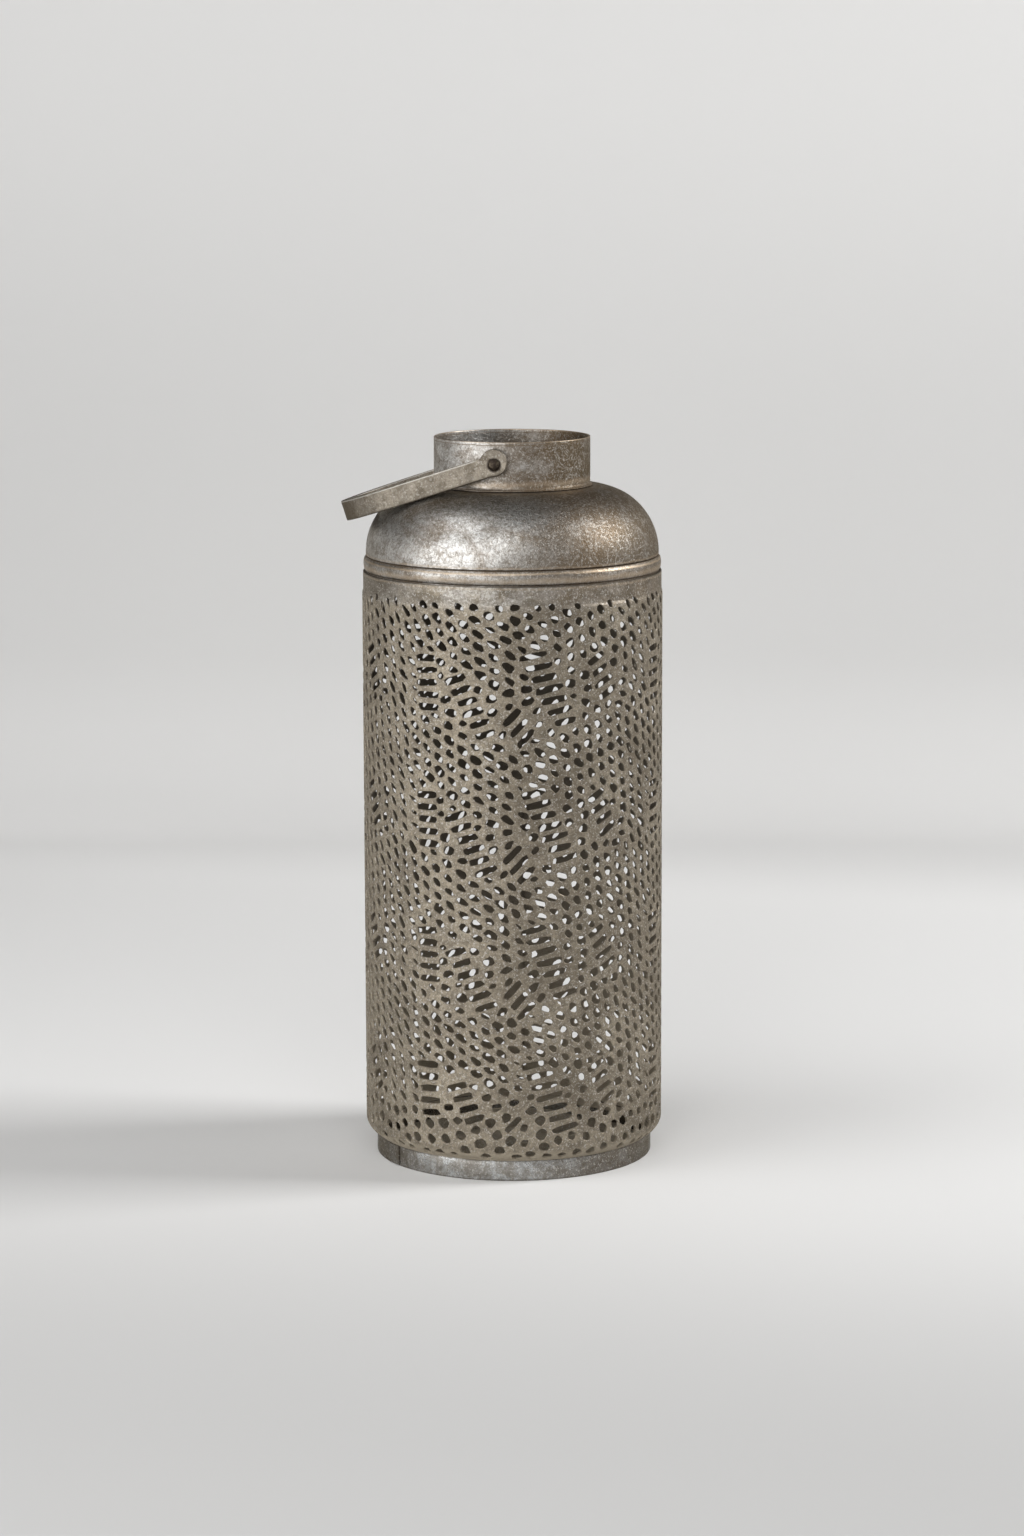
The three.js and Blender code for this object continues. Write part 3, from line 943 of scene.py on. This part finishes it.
def sheet_holes(sizes, piercing, roll, half, draws):
    """Every hole of the sheet, with the long slots first, and the number of those slots"""
    foot_margin = 5.0
    top_margin = 0.6
    slot_foot_margin = 15
    slot_top_margin = 1
    slot_end_margin = 4
    slot_sides = 14
    dot_sides = 8
    sparse_height = 26
    low = (roll.bend - roll.curve * roll.end) / MM + foot_margin
    high = margin_foot(sizes) - top_margin
    slots = []
    for middle, lean, long in long_slots(sizes, piercing):
        level = low + slot_foot_margin < middle.y < high - slot_top_margin
        if level and abs(middle.x) < half - 0.5 * long - slot_end_margin:
            slots.append((middle, lean, long))
    lean_at = lean_field(sizes, piercing)
    holes = []
    for middle, lean, long in slots:
        lean += draws.uniform(-0.05, 0.05)
        long *= draws.uniform(0.88, 1.04)
        height = piercing.slot_height * draws.uniform(0.88, 1.08) * rear_share(middle.x)
        holes.append(Hole(middle, lean, long, height, 0.5, draws.uniform(-0.1, 0.1), slot_sides))
    sparse = roll.bend / MM + sparse_height
    top_row = high - 2.0
    bottom_rows = sparse - 8
    for place in small_holes(piercing, slots, lean_at, low, high, sparse):
        lean, stretch = lean_at(place)
        lean += draws.uniform(-0.22, 0.22)
        stretch *= draws.uniform(0.8, 1.15)
        size = piercing.dot_size * draws.uniform(0.82, 1.16) * rear_share(place.x)
        if place.y > top_row:
            size *= 0.85
        if place.y < bottom_rows:
            size *= 1.08
            stretch = 1.15
        root = math.sqrt(stretch)
        square = draws.uniform(0.64, 1.35)
        taper = draws.uniform(-0.35, 0.35)
        holes.append(Hole(place, lean, size * root, size / root, square, taper, dot_sides))
    return holes, len(slots)


def ease_hole_edges(bm, width):
    """Bevels the outer edges of the sheet, which lie at height zero"""
    eased = []
    for edge in bm.edges:
        outside = all(vert.co.z > -0.01 for vert in edge.verts)
        if outside and edge.calc_face_angle(0.0) > 1.0:
            eased.append(edge)
    bmesh.ops.bevel(
        bm, geom=eased, offset=width, offset_type="OFFSET", affect="EDGES", segments=1, profile=0.5,
        material=-1,
    )


def pierced_sheet_mesh(sizes, piercing):
    """The flat sheet with its outlines filled between, thickened, its hole edges eased, then rolled"""
    draws = random.Random(piercing.seed)
    roll = WallRoll(sizes, piercing)
    seam_gap = 0.3
    eased_width = 0.22
    half = sheet_half_length() - seam_gap
    holes, fixed = sheet_holes(sizes, piercing, roll, half, draws)
    bm = bmesh.new()
    border_loop(bm, half, roll.low / MM, roll.high / MM)
    for hole in leave_bridges(holes, fixed, piercing.bridge):
        hole.draw(bm, draws)
    fill_between(bm, (0, 0, 1))
    bends = [roll.margin / MM + offset for offset in (-1.3, -0.6, 0.1, 0.8)]
    bends += [roll.bend / MM - 1.2 * step for step in range(9)]
    for level in bends:
        whole = bm.verts[:] + bm.edges[:] + bm.faces[:]
        bmesh.ops.bisect_plane(bm, geom=whole, dist=1e-4, plane_co=(0, level, 0), plane_no=(0, 1, 0))
    thicken(bm, (0, 0, -sizes.sheet / MM))
    bmesh.ops.recalc_face_normals(bm, faces=bm.faces[:])
    ease_hole_edges(bm, eased_width)
    for vert in bm.verts:
        vert.co = roll.place(vert.co)
    return bm


# Operators

class LANTERN_OT_pierced_wall(bpy.types.Operator):
    """Make the rolled, pierced wall and finish the strip behind its seam"""

    bl_idname = "lantern.pierced_wall"
    bl_label = "Pierced wall"

    def execute(self, context):
        sizes = context.scene.lantern_sizes
        colours = context.scene.lantern_colours
        foot = margin_foot(sizes) * MM
        finish = material_named("Pierced sheet", pierced_sheet, colours, foot, WALL_HIGH.z, sizes.sheet)
        mesh = pierced_sheet_mesh(sizes, context.scene.lantern_piercing)
        add_piece(mesh, "wall_pierced", finish, "lantern", ["pierced_wall"])
        strip = frame["nodes"]["seam_strip"]
        strip.data.materials.clear()
        strip.data.materials.append(finish)
        return {"FINISHED"}


class LANTERN_OT_shoulder(bpy.types.Operator):
    """Make the spun shoulder and the bead band below it"""

    bl_idname = "lantern.shoulder"
    bl_label = "Shoulder and band"

    def execute(self, context):
        sizes = context.scene.lantern_sizes
        colours = context.scene.lantern_colours
        sheet = sizes.sheet
        neck = NECK_HIGH.y - sizes.flare_radius
        ledge = neck + 1.1 * MM
        skirt = DOME_LOW.z + 1.5 * MM
        top = NECK_LOW.z - CLEARANCE
        lip = neck - sheet - CLEARANCE
        spread = DOME_HIGH.y - ledge
        rise = top - skirt
        edge = 0.45 * MM
        outside = [(DOME_HIGH.y - edge, DOME_LOW.z), (DOME_HIGH.y, DOME_LOW.z + edge)]
        outside += arc((ledge, skirt), spread, rise, 0, 90, 40)
        fold = arc((lip + sheet, top + sheet), sheet, sheet, 270, 180, 5)
        lip_top = [(lip, DOME_HIGH.z), (lip - sheet, DOME_HIGH.z)]
        inner_fold = arc((lip + sheet, top + sheet), 2 * sheet, 2 * sheet, 180, 270, 5)
        inside = arc((ledge, skirt), spread - sheet, rise - sheet, 90, 0, 24)
        inside.append((DOME_HIGH.y - sheet, DOME_LOW.z))
        bm = spin_profile(outside + fold + lip_top + inner_fold + inside, sizes.turns)
        dent(bm, sizes.dent_depth, 55.0, 3.0)
        lines = ((DOME_LOW.z, 0.5 * MM, 0.7 * MM, 0.8),)
        # Coppery lines at the shoulder's foot and at the neck, partly painted highlight
        edges = ((DOME_LOW.z + 1.1 * MM, 0.8 * MM, 1.2 * MM, 0.3), (top, 1.2 * MM, 2 * MM, 0.2))
        # Painted shade darker towards the top of the dome, and brown staining on the right that is partly
        # painted shade
        shade = (skirt + 0.5 * rise, skirt + 0.95 * rise, 0.58)
        stain_and_shade = (0.15 * DOME_HIGH.y, 0.65 * DOME_HIGH.y, 0.86)
        finish = pewter_named("Shoulder pewter", colours, lines, edges, shade, stain_and_shade)
        add_piece(bm, "shoulder_spun", finish, "lantern", ["shoulder_dome"])
        self.band(sizes, colours)
        return {"FINISHED"}

    def band(self, sizes, colours):
        """The bead with a flange inside the wall and one inside the shoulder"""
        sheet = sizes.sheet
        low = WALL_HIGH.z + CLEARANCE
        high = DOME_LOW.z - CLEARANCE
        wall_flange = WALL_HIGH.y - sizes.margin_inset - sheet - CLEARANCE
        dome_flange = DOME_HIGH.y - sheet - CLEARANCE
        bead = BAND_HIGH.y
        crown = 0.35 * MM
        edge = 0.9 * MM
        slope = bead - 0.3 * crown
        flank = 0.3 * (high - low)
        face = [(bead - crown, low + edge), (slope, low + flank), (bead, 0.5 * (low + high))]
        face += [(slope, high - flank), (bead - crown, high - edge)]
        profile = [(wall_flange - sheet, BAND_LOW.z), (wall_flange, BAND_LOW.z), (wall_flange, low)]
        profile += [(bead - crown - edge, low)] + face + [(bead - crown - edge, high)]
        profile += [(dome_flange, high), (dome_flange, BAND_HIGH.z), (dome_flange - sheet, BAND_HIGH.z)]
        profile += [(dome_flange - sheet, high - sheet), (wall_flange - sheet, high - sheet)]
        bm = spin_profile(profile, sizes.turns)
        dent(bm, 0.5 * sizes.dent_depth, 80.0, 9.0)
        lines = ((high, 0.45 * MM, 0.7 * MM, 0.8), (low, 0.45 * MM, 0.7 * MM, 0.8))
        # Coppery lines beside the grooves, partly painted highlight
        edges = ((high - 1.3 * MM, 0.9 * MM, 1.2 * MM, 0.6), (low + 2.2 * MM, 2.4 * MM, 3.0 * MM, 0.5))
        # Painted shade darker towards the top of the band, and brown staining on the right that is partly
        # painted shade
        shade = (low, high, 0.35)
        stain_and_shade = (0.1 * bead, 0.75 * bead, 0.6)
        finish = pewter_named("Band pewter", colours, lines, edges, shade, stain_and_shade)
        add_piece(bm, "band_beaded", finish, "lantern", ["joint_band"])


class LANTERN_OT_neck(bpy.types.Operator):
    """Make the open neck with its folded rim and flared foot"""

    bl_idname = "lantern.neck"
    bl_label = "Neck"

    def execute(self, context):
        sizes = context.scene.lantern_sizes
        colours = context.scene.lantern_colours
        sheet = sizes.sheet
        flare = sizes.flare_radius
        neck = NECK_HIGH.y - flare
        bore = neck - sheet
        centre = (neck + flare, NECK_LOW.z + sheet + flare)
        profile = arc(centre, flare + sheet, flare + sheet, 180, 268, 8)
        profile += [(centre[0], NECK_LOW.z + 0.1 * sheet), (centre[0], NECK_LOW.z + 0.3 * sheet)]
        profile += arc(centre, flare, flare + 0.5 * sheet, 262, 180, 8)
        rim = 0.5 * sheet
        profile += arc((neck - rim, NECK_HIGH.z - rim), rim, rim, 0, 180, 10)
        profile += [(neck - 2 * rim, NECK_HIGH.z - 2 * MM), (bore, NECK_HIGH.z - 3 * MM)]
        bm = spin_profile(profile, sizes.turns)
        tall = 8 * MM
        walls = [edge for edge in bm.edges if abs(edge.verts[0].co.z - edge.verts[1].co.z) > tall]
        bmesh.ops.subdivide_edges(bm, edges=walls, cuts=8, use_grid_fill=True)
        dent(bm, 0.8 * sizes.dent_depth, 60.0, 21.0)
        lines = (
            (NECK_HIGH.z - 1.6 * MM, 0.5 * MM, 1.2 * MM, 0.6),
            (NECK_LOW.z + 0.6 * MM, 1.5 * MM, 2.2 * MM, 0.6),
        )
        # Coppery lines at the rim and the flare, partly painted highlight
        edges = (
            (NECK_HIGH.z, 0.8 * MM, 0.8 * MM, 0.6),
            (NECK_LOW.z + 3.4 * MM, 2.4 * MM, 4.0 * MM, 0.35),
        )
        # Painted shade darker towards the foot of the neck, and brown staining on the right that is partly
        # painted shade
        shade = (NECK_HIGH.z - 8 * MM, NECK_LOW.z, 0.15)
        stain_and_shade = (-0.3 * neck, 0.55 * neck, 0.97)
        finish = pewter_named("Neck pewter", colours, lines, edges, shade, stain_and_shade)
        add_piece(bm, "neck_open", finish, "lantern", ["neck_collar"])
        return {"FINISHED"}


class LANTERN_OT_foot(bpy.types.Operator):
    """Make the foot ring with its lap, the base plate and the candle's ring"""

    bl_idname = "lantern.foot"
    bl_label = "Foot"

    def execute(self, context):
        sizes = context.scene.lantern_sizes
        finish = material_named("Foot zinc", foot_zinc, context.scene.lantern_colours)
        outer = FOOT_HIGH.y
        inner = outer - sizes.sheet
        edge = 0.45 * sizes.sheet
        middle = 0.5 * (outer + inner)
        profile = arc((middle, FOOT_LOW.z + edge), 0.5 * sizes.sheet, edge, 180, 360, 6)
        profile += arc((middle, FOOT_HIGH.z - edge), 0.5 * sizes.sheet, edge, 0, 180, 6)
        bm = spin_profile(profile, sizes.turns)
        dent(bm, sizes.dent_depth, 45.0, 31.0)
        add_piece(bm, "foot_ring_strip", finish, "lantern", ["foot_ring"])
        self.lap(sizes, finish, profile)
        inside = material_named("Dusty zinc", dusty_zinc, context.scene.lantern_colours)
        self.plate(sizes, inside)
        self.candle_ring(sizes, inside)
        return {"FINISHED"}

    def lap(self, sizes, finish, profile):
        """The strip's end, lapped over the ring at the left of the front"""
        bm = bmesh.new()
        lift = 0.55 * sizes.sheet
        lifted = [(radius + lift, height * 0.94 + 0.03 * FOOT_HIGH.z) for radius, height in profile]
        left_of_front = 53
        start = math.radians(-90 - left_of_front)
        width = math.radians(9)
        chain = profile_chain(bm, lifted, True)
        bmesh.ops.rotate(
            bm, verts=verts_of(chain), cent=(0, 0, 0), matrix=Matrix.Rotation(start, 3, "Z")
        )
        bmesh.ops.spin(
            bm, geom=chain, cent=(0, 0, 0), axis=(0, 0, 1), angle=width, steps=8, use_duplicate=False
        )
        open_edges = [edge for edge in bm.edges if edge.is_boundary]
        bmesh.ops.holes_fill(bm, edges=open_edges, sides=0)
        bmesh.ops.recalc_face_normals(bm, faces=bm.faces[:])
        add_piece(bm, "foot_ring_lap", finish, "lantern", [])

    def plate(self, sizes, finish):
        """The bottom, with a pressed ring below and the candle's raised seat"""
        radius = PLATE_HIGH.y
        top = sizes.sheet
        seat = CANDLE_HIGH.y - sizes.sheet - CLEARANCE
        dish = 0.25 * sizes.sheet
        profile = [(0.0, 0.0), (0.80 * radius, 0.0), (0.82 * radius, dish), (0.88 * radius, dish)]
        profile += [(0.90 * radius, 0.0), (radius - dish, 0.0), (radius, dish), (radius, top - dish)]
        profile += [(radius - dish, top), (seat, top), (seat, PLATE_HIGH.z - 0.5 * dish)]
        profile += [(seat - 0.5 * dish, PLATE_HIGH.z), (0.0, PLATE_HIGH.z)]
        bm = spin_profile(profile, sizes.turns, closed=False)
        add_piece(bm, "base_plate_disc", finish, "lantern", ["base_plate"])

    def candle_ring(self, sizes, finish):
        """A low ring with a rounded top"""
        outer = CANDLE_HIGH.y
        inner = outer - sizes.sheet
        middle = 0.5 * (outer + inner)
        half = 0.5 * sizes.sheet
        profile = [(inner, CANDLE_LOW.z), (outer, CANDLE_LOW.z)]
        profile += arc((middle, CANDLE_HIGH.z - half), half, half, 0, 180, 6)
        bm = spin_profile(profile, sizes.turns)
        add_piece(bm, "candle_ring_low", finish, "lantern", ["candle_ring"])


class LANTERN_OT_rivets(bpy.types.Operator):
    """Make both rivets with their spacers and roves"""

    bl_idname = "lantern.rivets"
    bl_label = "Rivets"

    def execute(self, context):
        colours = context.scene.lantern_colours
        iron = material_named("Dark iron", dark_iron, colours)
        half = 0.5 * context.scene.lantern_sizes.strap_width
        strap = material_named("Strap metal", strap_metal, colours, half)
        for side, turn in (("front", math.pi), ("back", 0.0)):
            place = Matrix.Translation((0, 0, PIVOT.z)) @ Matrix.Rotation(turn, 4, "Z")
            place = place @ Matrix.Rotation(-math.pi / 2, 4, "X")
            self.rivet(side, place, iron)
            self.washer(f"spacer_{side}", SPACER_LOW, SPACER_HIGH, place, strap, "strap_metal")
            self.washer(f"rove_{side}", ROVE_LOW, ROVE_HIGH, place, iron, "dark_iron")
        return {"FINISHED"}

    def rivet(self, side, place, finish):
        """A domed head, a shank and a peened tail"""
        tail_radius = 0.5 * (RIVET_HIGH.z - RIVET_LOW.z)
        head_radius = 2.95 * MM
        shank = 2.0 * MM
        head_height = 2.0 * MM
        head_seat = RIVET_HIGH.y - head_height
        tail_seat = RIVET_LOW.y + 1.2 * MM
        tail_crown = 0.9 * MM
        ease = 0.3 * MM
        profile = arc((0.0, tail_seat - ease), tail_radius, tail_crown, -90, 0, 8)
        profile += [(tail_radius, tail_seat), (shank, tail_seat), (shank, head_seat)]
        profile += [(head_radius - ease, head_seat)]
        profile += arc((0.0, head_seat + 0.15 * MM), head_radius, head_height - 0.2 * MM, 0, 90, 12)
        bm = spin_profile(profile, SMALL_TURNS, closed=False)
        dent(bm, 0.12 * MM, 520.0, 4.0 if side == "front" else 8.0)
        bmesh.ops.transform(bm, matrix=place, verts=bm.verts[:])
        add_piece(bm, f"rivet_{side}_peened", finish, "lantern", [f"rivet_{side}"])

    def washer(self, node, low, high, place, finish, slot):
        """A flat ring with eased edges"""
        radius = 0.5 * (high.z - low.z)
        ease = 0.2 * MM
        profile = [(HOLE_RADIUS, low.y), (radius - ease, low.y), (radius, low.y + ease)]
        profile += [(radius, high.y - ease), (radius - ease, high.y), (HOLE_RADIUS, high.y)]
        bm = spin_profile(profile, SMALL_TURNS)
        bmesh.ops.transform(bm, matrix=place, verts=bm.verts[:])
        add_piece(bm, f"{node}_washer", finish, "lantern", [node])


class LANTERN_OT_bail(bpy.types.Operator):
    """Make the flat strap handle with its round eyes, lying on the shoulder"""

    bl_idname = "lantern.bail"
    bl_label = "Handle"

    def execute(self, context):
        sizes = context.scene.lantern_sizes
        half = 0.5 * sizes.strap_width
        finish = material_named("Strap metal", strap_metal, context.scene.lantern_colours, half)
        bm = self.strap(sizes)
        rest = Matrix.Translation((0, 0, PIVOT.z)) @ Matrix.Rotation(-bail_droop(), 4, "Y")
        bmesh.ops.transform(bm, matrix=rest, verts=bm.verts[:])
        piece = add_piece(bm, "bail_strap", finish, "bail", ["bail_handle"])
        ease = piece.modifiers.new("Eased edges", "BEVEL")
        ease.width = 0.45 * MM
        ease.segments = 2
        ease.limit_method = "ANGLE"
        ease.angle_limit = math.radians(50)
        return {"FINISHED"}

    def strap(self, sizes):
        """One leg with its eye, its mirrored copy, and the bend spun between them"""
        half = 0.5 * sizes.strap_width
        outer = BAIL_HIGH.y
        seat = outer - sizes.strap_thickness
        reach = math.sqrt(bail_reach() ** 2 - half ** 2)
        bend = outer - reach
        bm = bmesh.new()
        above = 180 - math.degrees(math.asin((half - sizes.eye_rise) / sizes.eye_radius))
        below = math.degrees(math.asin((half + sizes.eye_rise) / sizes.eye_radius)) - 180
        outline = arc((0, sizes.eye_rise), sizes.eye_radius, sizes.eye_radius, above, below, 32)
        outline += [(bend, -half), (bend, half)]
        bore = arc((0, 0), HOLE_RADIUS, HOLE_RADIUS, 0, 345, 23)
        for points in (outline, bore):
            closed_loop(bm, [(along, seat, up) for along, up in points])
        fill_between(bm, (0, 1, 0))
        thicken(bm, (0, sizes.strap_thickness, 0))
        ends = [face for face in bm.faces if all(abs(vert.co.x - bend) < 0.01 * MM for vert in face.verts)]
        bmesh.ops.delete(bm, geom=ends, context="FACES_ONLY")
        leg = bm.verts[:] + bm.edges[:] + bm.faces[:]
        rim = [edge for edge in bm.edges if edge.is_boundary]
        copy = bmesh.ops.duplicate(bm, geom=leg)["geom"]
        bmesh.ops.scale(bm, verts=verts_of(copy), vec=(1, -1, 1))
        bmesh.ops.spin(
            bm, geom=rim, cent=(bend, 0, 0), axis=(0, 0, 1), angle=math.pi, steps=48, use_duplicate=False
        )
        bmesh.ops.remove_doubles(bm, verts=bm.verts[:], dist=0.005 * MM)
        bmesh.ops.recalc_face_normals(bm, faces=bm.faces[:])
        return bm


class LANTERN_OT_stage(bpy.types.Operator):
    """Make the pale floor and wall, the soft lamps and the camera"""

    bl_idname = "lantern.stage"
    bl_label = "Stage"

    def execute(self, context):
        self.backdrop(context)
        self.lamps(context)
        self.world(context)
        self.camera(context)
        context.scene.view_settings.view_transform = "Standard"
        return {"FINISHED"}

    def backdrop(self, context):
        """One sheet: the floor, a cove behind the lantern, and the wall"""
        front = -1.2
        wall = 0.98
        cove = 0.12
        height = 0.72
        width = 1.3
        bm = bmesh.new()
        line = [(front, 0.0), *arc((wall - cove, cove), cove, cove, -90, 0, 16), (wall, height)]
        turn = Matrix.Rotation(context.scene.lantern_piercing.front_turn, 3, "Z")
        verts = [bm.verts.new((-width, along, up)) for along, up in line]
        edges = [bm.edges.new(pair) for pair in zip(verts, verts[1:])]
        grown = bmesh.ops.extrude_edge_only(bm, edges=edges)["geom"]
        bmesh.ops.translate(bm, verts=verts_of(grown), vec=(2 * width, 0, 0))
        bmesh.ops.rotate(bm, verts=bm.verts[:], cent=(0, 0, 0), matrix=turn)
        bmesh.ops.recalc_face_normals(bm, faces=bm.faces[:])
        if min(face.normal.z for face in bm.faces) < -0.1:
            bmesh.ops.reverse_faces(bm, faces=bm.faces[:])
        smooth_object(bm, "backdrop", self.paper(context.scene.lantern_colours, wall, cove))

    def paper(self, colours, wall, cove):
        """Pale paper with painted light: paler on the floor round the lantern and high on the wall, and
        painted shade on the floor in front
        """
        paper = Finish("Backdrop paper", colours.backdrop, 0.0, 0.9)
        # Painted pool of light: the floor colour round the lantern
        level = along_axis(paper, "Z", 0.25 * cove, 0.0)
        before = along_axis(paper, "Y", -0.42, 0.16)
        behind = along_axis(paper, "Y", wall - 0.6 * cove, 0.66)
        paper.paint(colours.floor, paper.times(level, paper.times(before, behind)))
        # Painted light high on the wall and painted shade on the floor in front
        for share, fade in (
            (1.15, along_axis(paper, "Z", 0.25, 0.6)), (0.83, along_axis(paper, "Y", -0.1, -0.5)),
        ):
            paper.paint([share * part for part in colours.backdrop], fade)
        ends = [along_axis(paper, "X", 0.5, 0.9), along_axis(paper, "X", -0.5, -0.9)]
        ends.append(along_axis(paper, "Y", -0.65, -1.05))
        return self.one_sided(paper.done(), ends)

    def one_sided(self, material, ends):
        """Lets a view from behind the paper see through it, and fades its ends into the room"""
        tree = material.node_tree
        side = new_node(tree, "ShaderNodeNewGeometry").outputs["Backfacing"]
        for end in ends:
            side = calculated(tree, "MAXIMUM", side, end)
        front = tree.nodes["Principled BSDF"].outputs["BSDF"]
        behind = new_node(tree, "ShaderNodeBsdfTransparent").outputs["BSDF"]
        paper = new_node(tree, "ShaderNodeMixShader", [(0, side), (1, front), (2, behind)])
        tree.links.new(paper.outputs[0], tree.nodes["Material Output"].inputs["Surface"])
        return material

    def lamps(self, context):
        """Soft boxes round the lantern: turn from the front, height angle, distance, size and power"""
        aim = Vector((0, 0, 0.2))
        lamps = (
            ("left_box", -60, 13, 1.9, 1.2, 12.8),
            ("front_left_box", -25, 18, 1.9, 1.2, 10.5),
            ("front_box", 0, 42, 1.9, 1.0, 7.5),
            ("top_left_box", -68, 56, 1.9, 1.0, 9.0),
            ("right_box", 92, 33, 2.2, 0.8, 38.0),
        )
        for name, turn, rise, distance, size, power in lamps:
            data = bpy.data.lights.new(name, "AREA")
            data.size = size
            data.energy = power
            lamp = bpy.data.objects.new(name, data)
            around = math.radians(turn) + context.scene.lantern_piercing.front_turn
            level = distance * math.cos(math.radians(rise))
            height = distance * math.sin(math.radians(rise))
            spot = aim + Vector((level * math.sin(around), -level * math.cos(around), height))
            facing = (aim - spot).to_track_quat("-Z", "Y").to_matrix().to_4x4()
            lamp.matrix_world = Matrix.Translation(spot) @ facing
            lamp.visible_camera = False
            context.scene.collection.objects.link(lamp)

    def world(self, context):
        """A dim room whose lower part shows as pale as the paper, in view and in the metal"""
        world = bpy.data.worlds.new("Studio")
        context.scene.world = world
        world.use_nodes = True
        tree = world.node_tree
        colours = context.scene.lantern_colours
        dim = tuple(0.03 * part for part in colours.backdrop)
        way = new_node(tree, "ShaderNodeTexCoord").outputs["Generated"]
        rise = new_node(tree, "ShaderNodeSeparateXYZ", [("Vector", way)]).outputs["Z"]
        dim_above = 0.34
        pale_below = 0.12
        low = ramp(tree, rise, dim_above, pale_below)
        path = new_node(tree, "ShaderNodeLightPath")
        seen = path.outputs["Is Camera Ray"]
        for kind in ("Is Glossy Ray", "Is Transmission Ray"):
            seen = calculated(tree, "MAXIMUM", seen, path.outputs[kind])
        pale = calculated(tree, "MULTIPLY", low, seen)
        links = [(0, pale), (6, (*dim, 1.0)), (7, (*colours.backdrop, 1.0))]
        room = new_node(tree, "ShaderNodeMix", links, data_type="RGBA")
        tree.links.new(room.outputs[2], tree.nodes["Background"].inputs["Color"])

    def camera(self, context):
        """The photograph's viewpoint: a long lens, slightly above the lantern"""
        distance = 2147.7 * MM
        height = 556.1 * MM
        pitch = math.radians(9.462)
        roll = math.radians(-0.17)
        aside = -0.45 * MM
        turn = context.scene.lantern_piercing.front_turn
        data = bpy.data.cameras.new("camera")
        data.lens = 100.08
        data.sensor_width = 36.0
        camera = bpy.data.objects.new("camera", data)
        spin = Matrix.Rotation(turn, 4, "Z")
        tilt = Matrix.Rotation(math.pi / 2 - pitch, 4, "X")
        lean = Matrix.Rotation(roll, 4, "Z")
        camera.matrix_world = spin @ Matrix.Translation((aside, -distance, height)) @ tilt @ lean
        context.scene.collection.objects.link(camera)
        context.scene.camera = camera


class LANTERN_PT_panel(bpy.types.Panel):
    """Lists the steps that make the lantern"""

    bl_idname = "LANTERN_PT_panel"
    bl_label = "Pierced lantern"
    bl_space_type = "VIEW_3D"
    bl_region_type = "UI"
    bl_category = "Lantern"

    def draw(self, context):
        for operator in OPERATORS:
            self.layout.operator(operator.bl_idname)
        scene = context.scene
        for group in (scene.lantern_sizes, scene.lantern_piercing, scene.lantern_colours):
            for name in group.__annotations__:
                self.layout.prop(group, name)


OPERATORS = (
    LANTERN_OT_pierced_wall,
    LANTERN_OT_shoulder,
    LANTERN_OT_neck,
    LANTERN_OT_foot,
    LANTERN_OT_rivets,
    LANTERN_OT_bail,
    LANTERN_OT_stage,
)
CLASSES = (LanternSizes, LanternPiercing, LanternColours, *OPERATORS, LANTERN_PT_panel)


def register():
    for entry in CLASSES:
        bpy.utils.register_class(entry)
    bpy.types.Scene.lantern_sizes = PointerProperty(type=LanternSizes)
    bpy.types.Scene.lantern_piercing = PointerProperty(type=LanternPiercing)
    bpy.types.Scene.lantern_colours = PointerProperty(type=LanternColours)


def unregister():
    del bpy.types.Scene.lantern_colours
    del bpy.types.Scene.lantern_piercing
    del bpy.types.Scene.lantern_sizes
    for entry in reversed(CLASSES):
        bpy.utils.unregister_class(entry)


def main():
    register()
    bpy.ops.lantern.pierced_wall()
    bpy.ops.lantern.shoulder()
    bpy.ops.lantern.neck()
    bpy.ops.lantern.foot()
    bpy.ops.lantern.rivets()
    bpy.ops.lantern.bail()
    bpy.ops.lantern.stage()


if __name__ == "__main__":
    main()
